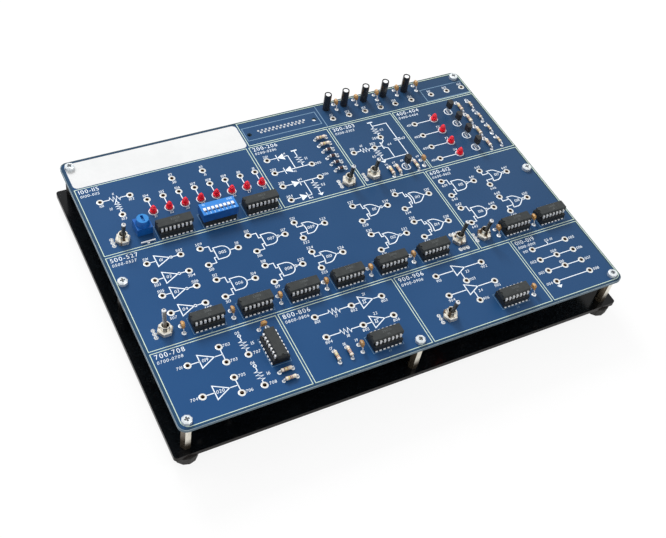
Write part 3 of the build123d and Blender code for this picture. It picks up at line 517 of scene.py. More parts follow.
def turned(bm, centre, profile, sides=24, axis=UP):
    """Adds a turned shape: (radius, distance) points round an axis, upright if none is named."""
    turn = UP.rotation_difference(axis)
    rings = []
    for radius, up in profile:
        if radius == 0:
            rings.append([bm.verts.new(centre + turn @ Vector((0, 0, up)))])
            continue
        angles = [2 * math.pi * k / sides for k in range(sides)]
        points = [Vector((radius * math.cos(a), radius * math.sin(a), up)) for a in angles]
        rings.append([bm.verts.new(centre + turn @ p) for p in points])
    for lower, upper in zip(rings, rings[1:]):
        for k in range(sides):
            n = (k + 1) % sides
            if len(lower) == 1:
                bm.faces.new((lower[0], upper[k], upper[n]))
            elif len(upper) == 1:
                bm.faces.new((lower[k], lower[n], upper[0]))
            else:
                bm.faces.new((lower[k], lower[n], upper[n], upper[k]))


# ---------------------------------------------------------------- tinned copper

JACK_LAND = 2.15 * MM
JACK_BORE = 0.99 * MM
JACK_RADII = (0.9 * MM, 1.3 * MM)       # between these a bore of the board is a jack
jacks = [c for c, r in bores("circuit_board") if JACK_RADII[0] < r < JACK_RADII[1]]


def jack_lands():
    """A tinned ring round every jack bore, and the dark brown barrel inside it."""
    lands, barrels = bmesh.new(), bmesh.new()
    bore, land, lip = JACK_BORE, JACK_LAND, (JACK_BORE + 0.16 * MM, 0.06 * MM)
    inside = [(bore * 0.98, -1.55 * MM), (bore, -0.02 * MM), (bore + 0.05 * MM, 0.04 * MM), lip]
    outside = [lip, (land - 0.35 * MM, 0.07 * MM), (land - 0.05 * MM, 0.045 * MM), (land, 0.0)]
    for c in jacks:
        middle = Vector((c.x, c.y, BOARD_TOP))
        turned(barrels, middle, inside)
        turned(lands, middle, outside)
    mesh_object("jack_lands", lands, land_tin, smooth=True, flip=True)
    mesh_object("jack_barrels", barrels, plain["barrel_copper"], smooth=True, flip=True)


def cross_recesses():
    """A dark cross laid over the head of every board screw, painted shade standing in for its cross recess.
    """
    bm = bmesh.new()
    reach, half = 1.35 * MM, 0.36 * MM
    corners = [(half, half), (half, reach), (-half, reach), (-half, half), (-reach, half), (-reach, -half),
               (-half, -half), (-half, -reach), (half, -reach), (half, -half), (reach, -half), (reach, half)]
    for low, high in solids("board_screws"):
        middle = (low + high) / 2
        turn = random.uniform(0, math.pi / 2)
        ring = []
        for x, y in corners:
            u = x * math.cos(turn) - y * math.sin(turn)
            v = x * math.sin(turn) + y * math.cos(turn)
            ring.append(bm.verts.new((middle.x + u, middle.y + v, high.z + 0.01 * MM)))
        bm.faces.new(ring)
    mesh_object("screw_recesses", bm, plain["painted_shade_and_band"])


def solder_domes(kind, node, radius, rise):
    """Small shining domes of solder round the pins of a node, sized in millimetres."""
    bm = bmesh.new()
    radius, rise = radius * MM, rise * MM
    for p in feet(node):
        size = random.uniform(0.92, 1.08)
        profile = [(0, rise * size), (radius * 0.45, rise * 0.9), (radius * 0.75, rise * 0.55)]
        turned(bm, Vector((p.x, p.y, BOARD_TOP)), profile + [(radius * size, 0)], 16)
    mesh_object(f"{kind}_solder", bm, plain["solder"], smooth=True, flip=True)


# ---------------------------------------------------------------- sockets, resistors and diodes

PIN_PITCH = 2.54 * MM
MOUTH_ROW = 2.84 * MM         # between the two rows of the connector's mouths


def wall_block(bm, axes, middle, half, wall, reach, foot, top):
    """A small block that stands out from a wall, half to each side of a point along it."""
    along_wall, across_wall = axes
    corners = []
    for out in (0, reach):
        for u, z in ((-half, foot), (half, foot), (half, top), (-half, top)):
            point = [0, 0, BOARD_TOP + z]
            point[along_wall] = middle + u
            point[across_wall] = wall + out
            corners.append(bm.verts.new(point))
    for face in ((4, 5, 6, 7), (0, 1, 5, 4), (3, 7, 6, 2), (0, 4, 7, 3), (1, 2, 6, 5)):
        bm.faces.new([corners[n] for n in face])


def socket_pins():
    """The bright pins and their pads at the foot of each socket's long sides."""
    bm = bmesh.new()
    for low, high in solids("sockets_14", "sockets_16"):
        span = high - low
        axes = (0, 1) if span.x > span.y else (1, 0)
        length = span[axes[0]]
        count = round(length / PIN_PITCH)
        for k in range(count):
            middle = low[axes[0]] + (k + 0.5) * length / count
            for wall, way in ((low[axes[1]], -1), (high[axes[1]], 1)):
                wall_block(bm, axes, middle, 0.70 * MM, wall, way * 0.06 * MM, 0.18 * MM, 0.60 * MM)
                wall_block(bm, axes, middle, 0.66 * MM, wall, way * 0.42 * MM, 0.02 * MM, 0.17 * MM)
    bmesh.ops.recalc_face_normals(bm, faces=bm.faces)
    mesh_object("socket_pins", bm, plain["pin_tin"])


def lying(name):
    """The middle, axis, length and radius of every lying body of a node."""
    found = []
    for low, high in solids(name):
        span = high - low
        axis = Vector((1, 0, 0)) if span.x > span.y else Vector((0, 1, 0))
        found.append(((low + high) / 2, axis, max(span.x, span.y), span.z / 2))
    return found


def sleeve(bm, middle, axis, start, profile):
    """A turned sleeve on a lying body, from a distance along it."""
    turned(bm, middle + axis * start, profile, 16, axis)


def band(inner, outer, wide):
    """The profile of a band."""
    return [(inner, 0), (outer, 0), (outer, wide), (inner, wide)]


def resistor_dress():
    """The swollen ends and the coloured bands of the resistors."""
    ends = bmesh.new()
    inks = [bmesh.new() for _ in BAND_INKS]
    for middle, axis, length, radius in lying("resistors"):
        cap = min(1.5 * MM, 0.28 * length)
        swell = [(0, 0), (0.7 * radius, 0), (1.10 * radius, 0.18 * cap), (1.16 * radius, 0.5 * cap),
                 (1.04 * radius, 0.95 * cap), (0.90 * radius, cap)]
        for way in (-1, 1):
            sleeve(ends, middle, axis * way, -length / 2, swell)
        for k, colour in enumerate(random.sample(range(len(inks)), 3)):
            profile = band(0.9 * radius, 1.05 * radius, 0.07 * length)
            sleeve(inks[colour], middle, axis, (-0.26 + 0.15 * k) * length, profile)
    mesh_object("resistor_ends", ends, plain["resistor_end"], smooth=True)
    for k, (ink, bm) in enumerate(zip(BAND_INKS, inks)):
        mesh_object(f"resistor_bands_{k + 1}", bm, plain[ink])


def diode_dress():
    """The tinned ends of the glass diodes and the dark band at one of them."""
    caps, bands = bmesh.new(), bmesh.new()
    for middle, axis, length, radius in lying("diodes"):
        wide = 1.06 * radius
        cap = [(0, 0), (0.8 * radius, 0), (wide, 0.15 * MM), (wide, 0.75 * MM), (0.9 * radius, 0.85 * MM)]
        for way in (-1, 1):
            sleeve(caps, middle, axis * way, -length / 2, cap)
        sleeve(bands, middle, axis, 0.8 * MM, band(0.9 * radius, wide, 0.6 * MM))
    mesh_object("diode_caps", caps, plain["pin_tin"], smooth=True)
    mesh_object("diode_bands", bands, plain["painted_shade_and_band"])


def sleeve_lips():
    """The dark sleeve folded over the rim of every can, round its bare top."""
    bm = bmesh.new()
    for low, high in solids("capacitor_cans"):
        middle = (low + high) / 2
        radius = (high.x - low.x) / 2
        profile = [(radius, -0.30 * MM), (radius, 0.02 * MM),
                   (0.72 * radius, 0.02 * MM), (0.70 * radius, -0.10 * MM)]
        turned(bm, Vector((middle.x, middle.y, high.z)), profile, 32)
    mesh_object("sleeve_lips", bm, plain["can_sleeve"], flip=True)


def rotor_skirt():
    """The flared skirt of the trimmer's rotor, down to the top of its housing."""
    bm = bmesh.new()
    low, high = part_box("trimmer_rotor")
    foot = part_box("trimmer_housing")[1].z + 0.03 * MM
    middle = (low + high) / 2
    radius = (high.x - low.x) / 2
    profile = [(radius + 0.78 * MM, 0.0), (radius + 0.74 * MM, 0.35 * MM),
               (radius + 0.04 * MM, high.z - foot - 0.35 * MM), (radius * 0.98, high.z - foot - 0.10 * MM)]
    turned(bm, Vector((middle.x, middle.y, foot)), profile, 32)
    mesh_object("rotor_skirt", bm, rotor_blue, smooth=True, flip=True, body="trimmer")


def contact_mouths():
    """The gold mouths of the connector's contacts, in two rows on its black face, each with a dark disc of
    painted shade for its hole.
    """
    rims, throats = bmesh.new(), bmesh.new()
    low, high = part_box("connector_insulator")
    pins = feet("connector_contacts")
    middle = sum(p.y for p in pins) / len(pins)
    back = Vector((0, 1, 0))
    for p in pins:
        row = -MOUTH_ROW / 2 if p.y < middle else MOUTH_ROW / 2
        spot = Vector((p.x, high.y, (low.z + high.z) / 2 + row))
        turned(rims, spot, [(0.72 * MM, 0.0), (0.66 * MM, 0.06 * MM), (0.46 * MM, 0.03 * MM)], 12, back)
        # painted shade: a dark disc where the contact's hole is
        turned(throats, spot, [(0.46 * MM, 0.03 * MM), (0, 0.02 * MM)], 12, back)
    mesh_object("contact_rims", rims, plain["contact_gold"], smooth=True, flip=True)
    mesh_object("contact_throats", throats, plain["painted_shade_and_band"], flip=True)


# ---------------------------------------------------------------- printed layout

INK_RISE = 0.035 * MM
CLEAR = 2                     # lines stop this far from the middle of a jack
LABEL, SIGN = 1.9, 2.1        # heights of the numbers beside jacks and inside signs
BUBBLE, BUBBLE_OUT = 0.75, 0.9          # radius of an inverter's ring, and how far out it stands
DIGIT_HEIGHT = 0.7            # of the font's digits, drawn at size 1
FRAME_LINE = 0.44
BOARD_CORNER = 5.0 * MM
ARRIS_INSET = 0.22


def at(x, y, up=0.0):
    """A point of the printed layout, on the board."""
    return DATUM + Vector((x * PRINT, y * PRINT, up))


def printed(point):
    """Where a real point lies in the printed layout."""
    return ((point.x - DATUM.x) / PRINT, (point.y - DATUM.y) / PRINT)


def middles(name):
    """The middle of every solid of a node, in the printed layout."""
    return [printed((low + high) / 2) for low, high in solids(name)]


class Spot(namedtuple("Spot", "x y")):
    """A jack's place in the layout, and where the lines that run up to it stop."""
    left = property(lambda s: s.x - CLEAR)
    right = property(lambda s: s.x + CLEAR)
    over = property(lambda s: s.y + CLEAR)
    under = property(lambda s: s.y - CLEAR)


spots = [Spot(*printed(c)) for c in jacks]


def jack(x, y):
    """The jack nearest to a point of the layout."""
    return min(spots, key=lambda s: (s.x - x) ** 2 + (s.y - y) ** 2)


def patch(bm, points):
    """A filled shape, a film thick."""
    top = [bm.verts.new(at(x, y, INK_RISE)) for x, y in points]
    foot = [bm.verts.new(at(x, y, -INK_RISE)) for x, y in points]
    bm.faces.new(top)
    for k in range(len(points)):
        n = (k + 1) % len(points)
        bm.faces.new((foot[k], foot[n], top[n], top[k]))


def stroke(bm, points, width=0.55, closed=False):
    """A line of constant width along a path, mitred at its corners."""
    pts = [Vector(p) for p in points]
    count = len(pts)
    left, right = [], []
    for k, p in enumerate(pts):
        before = pts[(k - 1) % count] if closed or k else None
        after = pts[(k + 1) % count] if closed or k < count - 1 else None
        into = (p - before).normalized() if before is not None else (after - p).normalized()
        out = (after - p).normalized() if after is not None else into
        way = (into + out).normalized() if (into + out).length > 1e-6 else into
        side = Vector((-way.y, way.x))
        reach = width / 2 / max(0.45, side.dot(Vector((-into.y, into.x))))
        left.append(p + side * reach)
        right.append(p - side * reach)
    for k in range(count if closed else count - 1):
        n = (k + 1) % count
        patch(bm, [tuple(p) for p in (right[k], right[n], left[n], left[k])])


def across(bm, y, start, stop, width=0.55):
    stroke(bm, [(start, y), (stop, y)], width)


def rising(bm, x, start, stop, width=0.55):
    stroke(bm, [(x, start), (x, stop)], width)


def arc(x, y, radius, start, stop, steps=8):
    """Points along part of a circle, in degrees."""
    turn = [math.radians(start + (stop - start) * k / steps) for k in range(steps + 1)]
    return [(x + radius * math.cos(a), y + radius * math.sin(a)) for a in turn]


def rounded(left, front, right, rear, bend):
    """A box with nine points round each corner, from the front left one on."""
    path = []
    for x, y, turn in ((left + bend, front + bend, 180), (right - bend, front + bend, 270),
                       (right - bend, rear - bend, 0), (left + bend, rear - bend, 90)):
        path += arc(x, y, bend, turn, turn + 90)
    return path


def ring(bm, x, y, radius, width=0.5):
    stroke(bm, arc(x, y, radius, 0, 360, 24)[:-1], width, closed=True)


def zigzag(bm, x, y, length, swing, upright=False, steps=6):
    """A resistor sign that starts at a point and runs right or up."""
    path = [((k + 0.5) * length / steps, -swing if k % 2 else swing) for k in range(steps)]
    path = [(0, 0)] + path + [(length, 0)]
    stroke(bm, [(x + v, y + u) if upright else (x + u, y + v) for u, v in path], 0.5)


def resistor(bm, x, y, length, swing, before, after=None, upright=False):
    """A resistor sign with the lines that run to it from one place and on to another."""
    zigzag(bm, x, y, length, swing, upright)
    line, level, start = (rising, x, y) if upright else (across, y, x)
    line(bm, level, before, start)
    if after is not None:
        line(bm, level, start + length, after)


def ground(bm, x, y):
    """A filled triangle that points down."""
    patch(bm, [(x - 2.0, y + 0.9), (x, y - 1.2), (x + 2.0, y + 0.9)])


def amplifier(bm, x, y, half, length, before, after, bubble=False):
    """A triangle that points right, with its lines, and a ring at its tip if it inverts."""
    tip = x + length
    stroke(bm, [(x, y - half), (tip, y), (x, y + half)], 0.6, closed=True)
    if bubble:
        ring(bm, tip + BUBBLE_OUT, y, BUBBLE)
        tip += 1.7
    across(bm, y, before, x)
    across(bm, y, tip, after)


def gate(bm, kind, x, y, bubble):
    """A logic gate sign whose left side is at x."""
    half = 4.5
    if kind == "and":
        middle = x + 4.2
        path = [(x, y + half), (middle, y + half), *arc(middle, y, half, 80, -80, 14)]
        path += [(middle, y - half), (x, y - half)]
        tip = middle + half
        stroke(bm, path, 0.6, closed=True)
    else:
        tip = x + 9.4
        upper = [(x + 3.2 + 6.2 * k / 8, y + half * math.cos(math.pi / 2 * k / 8) ** 1.1) for k in range(9)]
        lower = [(u, 2 * y - v) for u, v in reversed(upper[:-1])]
        stroke(bm, [(x, y + half), *upper, *lower, (x, y - half)], 0.6)
        back = arc(x - 8.1, y, 9.3, 29, -29, 10)
        stroke(bm, back, 0.6)
        if kind == "xor":
            stroke(bm, [(u - 1.7, v) for u, v in back], 0.6)
    if bubble:
        ring(bm, tip + BUBBLE_OUT, y, BUBBLE)
        tip += 1.6
    return tip


glyphs = {}


def glyph(digit):
    """The outline of one digit, unit height, with its width."""
    if digit not in glyphs:
        curve = bpy.data.curves.new("digit", "FONT")
        curve.body = digit
        curve.resolution_u = 3
        piece = linked("digit", curve)
        drawn = piece.evaluated_get(bpy.context.evaluated_depsgraph_get())
        shape = bpy.data.meshes.new_from_object(drawn)
        bpy.data.objects.remove(piece)
        bpy.data.curves.remove(curve)
        xs = [v.co.x for v in shape.vertices]
        shift = min(xs)
        glyphs[digit] = (
            [((v.co.x - shift) / DIGIT_HEIGHT, v.co.y / DIGIT_HEIGHT) for v in shape.vertices],
            [tuple(f.vertices) for f in shape.polygons],
            (max(xs) - shift) / DIGIT_HEIGHT,
        )
        bpy.data.meshes.remove(shape)
    return glyphs[digit]


def number(bm, text, x, y, cap=LABEL, slant=0.18, gap=0.16, lift=INK_RISE):
    """Digits centred on a point."""
    wide = sum(glyph(d)[2] + gap for d in text) - gap
    pen = -wide / 2
    for d in text:
        points, faces, width = glyph(d)
        places = [at(x + cap * (pen + u + slant * (v - 0.5)), y + cap * (v - 0.5), lift) for u, v in points]
        verts = [bm.verts.new(place) for place in places]
        for f in faces:
            bm.faces.new([verts[k] for k in f])
        pen += width + gap


def tags(bm, first, jacks, dx, dy):
    """Numbers beside some jacks, counted up from the first."""
    for k, spot in enumerate(jacks):
        number(bm, f"{first + k:03d}", spot.x + dx, spot.y + dy)


def frames(bm):
    """Thin frames round the panels of the layout."""
    left, right, front, rear, bend = 2.1, 283.7, 1.3, 199.0, 4.2
    rows = ((front, 49.6), (51.3, 120.1), (121.9, 176.2))
    columns = (
        ((left, 75.1), (76.7, 149.5), (151.1, 232.2), (233.8, right)),
        ((left, 212.0), (213.5, right)),
        ((left, 112.9), (114.7, 170.1), (171.7, 218.3), (219.7, right)),
    )
    for (low, high), spans in zip(rows, columns):
        for start, stop in spans:
            first = last = None
            if low == front:
                first = arc(start + bend, low + bend, bend, 180, 270) if start == left else None
                last = arc(stop - bend, low + bend, bend, 270, 360) if stop == right else None
            path = (first or [(start, low)]) + (last or [(stop, low)]) + [(stop, high), (start, high)]
            stroke(bm, path, FRAME_LINE, closed=True)
    band = [(115.8, rear), (115.8, 177.8), (right, 177.8), *arc(right - bend, rear - bend, bend, 0, 90)]
    stroke(bm, band, FRAME_LINE, closed=True)


def arris():
    """The upper edge of the board, as a path."""
    left, front = (v + ARRIS_INSET for v in printed(board_low))
    right, rear = (v - ARRIS_INSET for v in printed(board_high))
    return rounded(left, front, right, rear, BOARD_CORNER / PRINT)


def near_arris(bm):
    """The sawn arris on the left and in front, from the middle of one corner to that of another, painted
    paler there as painted light.
    """
    stroke(bm, arris()[31:] + arris()[:14], 0.30)


def far_arris(bm):
    """The rest of the arris, on the right and at the rear, painted duller as painted shade."""
    stroke(bm, arris()[13:32], 0.34)


def fine_frames(bm):
    """Fainter boxes round the connector's pins and the ground jacks."""
    stroke(bm, [(117.2, 182.1), (169.6, 182.1), (169.6, 193.7), (117.2, 193.7)], 0.5, closed=True)
    rising(bm, 172.0, 178.4, 199.0, 0.5)
    stroke(bm, [(283.3, 178.6), (249.4, 178.6), (249.4, 190.4), (283.3, 190.4)], 0.5)


TITLES = (
    # x and y of the left end, first and last number of the panel
    (3.6, 173.7, 100, 115), (116.2, 173.7, 200, 206), (173.2, 173.7, 300, 303), (221.2, 173.7, 400, 404),
    (3.6, 117.5, 500, 527), (214.8, 117.5, 600, 612), (3.6, 47.0, 700, 708), (78.2, 47.0, 800, 806),
    (152.6, 47.0, 900, 906), (235.2, 47.0, 10, 19),
)


def titles(bm):
    """A panel's numbers, in its top left corner."""
    for x, y, first, last in TITLES:
        for digits, cap, drop, slant in ((3, 3.0, 0.0, 0.0), (4, 2.0, 3.8, 0.18)):
            text = f"{first:0{digits}d}-{last:0{digits}d}"
            wide = sum(glyph(d)[2] + 0.24 for d in text) * cap
            number(bm, text, x + wide / 2, y - drop, cap, slant=slant, gap=0.24)


def inverters(bm):
    """Four inverting amplifiers between two columns of jacks."""
    for k, y in enumerate((109.2, 96.2, 84.8, 71.8)):
        first, last = jack(22.4, y), jack(42.7, y)
        left = 27.9
        amplifier(bm, left, first.y, 4.2, 8.0, first.right, last.left, bubble=True)
        side = 3.3 if k % 2 == 0 else -3.5
        tags(bm, 501 + 2 * k, (first, last), 0.2, side)
        number(bm, f"0{k + 1}", left + 2.9, first.y, SIGN)


GATES = (
    # x of the entry jacks, kind, ring at the tip, panel, how far right of the jacks the lines step
    # (nought: straight up or down from them), how far the gate starts, x of the exit jack
    (54.7, "and", False, 500, 5.0, 6.9, 75.7),
    (84.7, "and", True, 500, 5.0, 6.9, 105.8),
    (114.8, "or", False, 500, 0.0, 3.6, 132.1),
    (154.7, "or", True, 500, 5.1, 6.3, 175.8),
    (184.8, "xor", False, 500, 5.1, 8.0, 205.8),
    (218.8, "and", True, 600, 3.9, 5.8, 239.6),
    (248.1, "or", True, 600, 0.0, 3.9, 265.2),
)


def gates(bm):
    """Two rows of gates, each between two entry jacks and one exit jack."""
    for row, middle in enumerate((102.5, 78.1)):
        for k, (x, kind, bubble, panel, step, reach, end) in enumerate(GATES):
            high, low, out = jack(x, middle + 6.5), jack(x, middle - 6.5), jack(end, middle)
            left = high.x + reach
            tip = gate(bm, kind, left, out.y, bubble)
            bend = high.x + step
            inner = left + {"and": 0, "or": 0.9, "xor": -0.8}[kind]
            for start, way in ((high, 1), (low, -1)):
                level = out.y + way * 2.5
                first = (start.right, start.y) if step else (start.x, start.y - way * CLEAR)
                path = [first, (bend, start.y), (bend, level), (inner, level)]
                stroke(bm, path if step else [path[0]] + path[2:])
            across(bm, out.y, tip, out.left)
            count = panel + 9 + 6 * k + 3 * row
            high_side = -3.9 if (x == 218.8 and row == 0) else 3.4
            tags(bm, count, [high], 0.2, high_side)
            tags(bm, count + 1, [low], 0.2, -3.6)
            tags(bm, count + 2, [out], 0.2, 3.5)
            number(bm, f"0{2 * k + row + 5:02d}", (left + tip) / 2 - 0.2, out.y, SIGN)


def source_signs(bm):
    """The variable resistor's sign, and the stems and numbers of the source lamps."""
    first, last, tap = jack(13.1, 162.4), jack(31.4, 162.4), jack(22.3, 149.0)
    resistor(bm, 19.0, first.y, 6.4, 1.8, first.right, last.left)
    resistor(bm, tap.x, 152.8, 5.6, 1.5, tap.over, upright=True)
    stroke(bm, [(tap.x - 1.1, 158.4), (tap.x, 160.6), (tap.x + 1.1, 158.4)], 0.5, closed=True)
    tags(bm, 101, (first, last, tap), 0, -3.3)
    number(bm, "11", 22.4, 166.4)
    number(bm, "12", 17.6, 155.2)
    for k in range(8):
        spot = jack(39.7 + 10.015 * k, 155.5)
        rising(bm, spot.x, spot.under, 149.2)
        tags(bm, 104 + k, [spot], 0.2, 3.3)
        number(bm, f"2{k + 1}", spot.x + 0.1, 141.4, 1.7)
    for k, x in enumerate((59.8, 79.8)):
        spot = jack(x, 167.2)
        tags(bm, 112 + k, [spot], 0.2, 3.4)
        number(bm, f"{k + 30}", spot.x + 0.2, spot.y - 3.5)


def diode_sign(bm, x, y, way):
    """A filled triangle against a bar; it points left or right."""
    tip, half = x - 2.2 * way, 2.75
    corners = [(x + 2.4 * way, y - half), (x + 2.4 * way, y + half), (tip, y)]
    patch(bm, corners if way < 0 else corners[::-1])
    rising(bm, tip, y - half, y + half)


def diode_signs(bm):
    """Four diodes with two load resistors."""
    entries = [jack(121.0, y) for y in (162.2, 150.3, 138.3, 126.3)]
    outs = [jack(146.9, 150.3), jack(146.9, 138.3)]
    join = 135.4
    for k, spot in enumerate(entries):
        way = 1 if k < 2 else -1
        across(bm, spot.y, spot.right, 128.5)
        diode_sign(bm, 130.3, spot.y, way)
        stop = outs[k - 1].left if k in (1, 2) else join
        across(bm, spot.y, 132.0, stop)
        tags(bm, 201 + k, [spot], 0.2, 3.2)
        number(bm, str(41 + k), 133.9, spot.y + (2.3 if k % 2 == 0 else -2.3), 1.5)
    rising(bm, join, entries[0].y, entries[1].y)
    rising(bm, join, entries[2].y, entries[3].y)
    resistor(bm, 141.0, 153.2, 6.4, 1.9, entries[1].y, 164.8, upright=True)
    across(bm, 165.0, 139.0, 143.0, 0.9)
    resistor(bm, 141.0, 129.5, 6.4, 1.9, 125.4, entries[2].y, upright=True)
    ground(bm, 141.0, 124.8)
    number(bm, "51", 145.4, 156.3, 2.1)
    number(bm, "52", 145.6, 131.9, 2.1)
    tags(bm, 205, outs[:1], 4.2, -0.3)
    tags(bm, 206, outs[1:], 4.2, 1.3)


def transistor_signs(bm):
    """One transistor stage with its resistors and its capacitor."""
    first, base, top = jack(177.2, 150.4), jack(192.4, 150.5), jack(200.9, 157.9)
    resistor(bm, 182.0, first.y, 6.2, 1.8, first.right, base.left)
    across(bm, base.y, base.right, 198.0)
    rising(bm, 198.0, base.y - 3.0, base.y + 3.2, 0.8)
    stroke(bm, [(198.0, base.y + 1.3), (200.9, 154.4), (200.9, top.under)])
    stroke(bm, [(198.0, base.y - 1.3), (200.9, 147.4), (200.9, 138.4)])
    resistor(bm, top.x - 0.5, 161.0, 6.2, 1.9, top.over, 172.4, upright=True)
    across(bm, 172.6, top.x - 2.4, top.x + 1.5, 0.9)
    rail = 210.8
    stroke(bm, [(top.x - 0.5, 168.9), (rail, 168.9), (rail, 153.6)])
    stroke(bm, [(rail, 152.2), (rail, 138.4), (192.2, 138.4)])
    for y in (153.5, 152.2):
        across(bm, y, rail - 2.4, rail + 2.4)
    resistor(bm, base.x, 142.2, 6.0, 1.9, 137.4, base.under, upright=True)
    ground(bm, base.x - 0.2, 137.0)
    tags(bm, 301, [first], 0.2, 3.5)
    tags(bm, 302, [base], 0.2, 3.6)
    tags(bm, 303, [top], -4.2, 0.3)
    places = ((184.4, 154.8), (204.8, 164.2), (215.0, 152.6), (203.4, 150.3), (188.2, 143.3))
    for k, (x, y) in enumerate(places):
        number(bm, f"6{k + 1}", x, y)
    for k, x in enumerate((192.2, 197.6, 203.6, 215.4)):
        number(bm, f"6{k + 6}", x, 134.2, 1.6)


def indicator_signs(bm):
    """Stems and numbers of the indicator lamps."""
    for k in range(4):
        spot = jack(229.0, 161.7 - 11.39 * k)
        across(bm, spot.y, spot.right, 242.3)
        tags(bm, 401 + k, [spot], -4.6, 0)
        number(bm, f"7{k + 1}", 242.9, spot.y + 4.0)
        number(bm, f"8{k + 1}", 275.6, spot.y + 10.2)
        number(bm, f"9{k + 1}", 266.8, spot.y + 10.2)


def transistor_outlines(bm):
    """A printed outline with one flat side round every transistor."""
    for x, y in middles("transistors"):
        stroke(bm, arc(x, y, 2.85, 42, 318, 20), 0.60, closed=True)


def socket_outlines(bm):
    """A thin printed outline round every socket, and a small number in front of it."""
    margin = 0.8
    for k, (low, high) in enumerate(solids("sockets_14", "sockets_16")):
        left, front = (v - margin for v in printed(low))
        right, rear = (v + margin for v in printed(high))
        stroke(bm, [(left, front), (right, front), (right, rear), (left, rear)], 0.20, closed=True)
        if right - left > rear - front:
            number(bm, str(40 + k), (left + right) / 2, front - 1.5, 1.4)


def lamp_rings(bm):
    """A printed ring round every lamp."""
    for x, y in middles("indicator_lamps"):
        ring(bm, x, y, 2.6)


def pulse_signs(bm):
    """Two amplifiers with two exits each, and two resistors that hang from small rings."""
    for k, y in enumerate((36.1, 15.2)):
        first, high, low = jack(18.1, y), jack(38.0, y + 5.2), jack(38.0, y - 5.2)
        left = 24.9
        amplifier(bm, left, first.y, 4.4, 8.2, first.right, high.x)
        stroke(bm, [(high.x, high.under), (low.x, low.over)])
        number(bm, f"0{19 + k}", left + 3.1, first.y, SIGN)
        tags(bm, 701 + 3 * k, [first], -4.7, 0)
        tags(bm, 702 + 3 * k, (high, low), 4.3, 0)
        load = jack(50.9, low.y)
        resistor(bm, load.x, load.y + 3.4, 6.0, 2.0, load.over, load.y + 12.0, upright=True)
        ring(bm, load.x, load.y + 12.9, 0.8)
        number(bm, f"0{k + 5}", load.x - 0.3, load.y + 15.2)
        number(bm, f"1{k + 5}", load.x + 5.0, load.y + 6.2, 2.1)
        tags(bm, 707 + k, [load], 4.9, 0)


def delay_signs(bm):
    """Two rows of resistor, jack and trigger amplifier."""
    for k, y in enumerate((40.7, 26.1)):
        first, middle, last = jack(95.3, y), jack(118.5, y), jack(138.1, y)
        level = first.y
        resistor(bm, 104.0, level, 6.8, 1.8, first.right, middle.left)
        amplifier(bm, 124.2, level, 4.3, 8.0, middle.right, last.left)
        sign = [(125.4, level - 1.1), (127.4, level - 1.1), (127.4, level + 1.1), (128.8, level + 1.1)]
        stroke(bm, sign, 0.4)
        stroke(bm, [(126.2, level - 1.1), (126.2, level + 1.1), (127.4, level + 1.1)], 0.4)
        tags(bm, 801 + 3 * k, (first, middle, last), -0.1, -3.4)
        number(bm, f"1{k + 7}", 107.3, level - 3.4)
        number(bm, f"2{k + 1}", 128.7, level + 4.9)
    for k, x in enumerate((94.3, 102.4, 110.0)):
        number(bm, f"1{k + 7}", x, 18.3, 1.8)


def driver_signs(bm):
    """Two amplifiers, each with a gate jack under it."""
    for k, y in enumerate((42.0, 26.7)):
        first, last = jack(175.5, y), jack(207.4, y)
        hold = jack(191.3, y - 9.3)
        level = first.y
        amplifier(bm, 188.0, level, 3.9, 7.4, first.right, last.left)
        rising(bm, hold.x, hold.over, level - 2.2)
        tags(bm, 901 + 3 * k, [first], -0.1, -3.5)
        tags(bm, 902 + 3 * k, [last], -0.2, -3.5)
        tags(bm, 903 + 3 * k, [hold], 4.2, 0)
        number(bm, f"2{k + 3}", 195.5, level - 3.2)


def channel_signs(bm):
    """Four numbered lines between jacks; the last goes to ground."""
    for k, y in enumerate((39.4, 30.5, 21.7, 12.8)):
        first, last = jack(243.3, y), jack(268.1, y)
        stops = [first, jack(255.8, y), last] if k in (1, 2) else [first, last]
        for start, stop in zip(stops, stops[1:]):
            across(bm, first.y, start.right, stop.left)
        tags(bm, 1 + k, [first], -5.2, 0)
        tags(bm, 5 + k, [last], 4.8, 0)
        tags(bm, 8 + k, stops[1:-1], -0.4, 3.3)
    top, foot = jack(243.3, 39.4), jack(243.3, 12.8)
    rising(bm, 255.4, top.y, top.y + 2.3)
    number(bm, "02-01", 257.6, top.y + 3.4)
    rising(bm, foot.x, foot.under, foot.y - 3.2)
    ground(bm, foot.x, foot.y - 3.9)


def supply_numbers(bm):
    """Numbers of the supply and ground jacks."""
    tags(bm, 151, [jack(x, 184) for x in (178.8, 190.9, 203.1, 215.0, 226.5, 239.1)], 0.2, 3.3)
    tags(bm, 161, [jack(x, 184.6) for x in (255.2, 267.8, 279.9)], -0.2, 3.4)


def switch_numbers(bm):
    """Small numbers in front of the eight sliders, and two in the rear corners of the block."""
    low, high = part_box("switch_housing")
    lift = high.z - BOARD_TOP + 0.02 * MM
    for k in range(1, 9):
        x, y = printed(sum(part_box(f"slider_{k}"), Vector()) / 2)
        number(bm, str(k), x, y - 3.4, 1.5, slant=0.0, lift=lift)
    rear = printed(high)[1] - 1.3
    number(bm, "01", printed(low)[0] + 2.6, rear, 1.5, slant=0.0, lift=lift)
    number(bm, "008", printed(high)[0] - 3.0, rear, 1.5, slant=0.0, lift=lift)


def chip_numbers(bm):
    """A dull number on the top of every chip that lies along the board."""
    for k, (low, high) in enumerate(solids("logic_chips_14", "logic_chips_16")):
        x, y = printed((low + high) / 2)
        lift = high.z - BOARD_TOP + 0.01 * MM
        if high.x - low.x > high.y - low.y:
            number(bm, f"{20 + k}0{k + 11}", x + 0.6, y + 0.9, 1.5, slant=0.0, lift=lift)
            number(bm, f"{k + 31}", x + 0.6, y - 1.4, 1.2, slant=0.0, lift=lift)


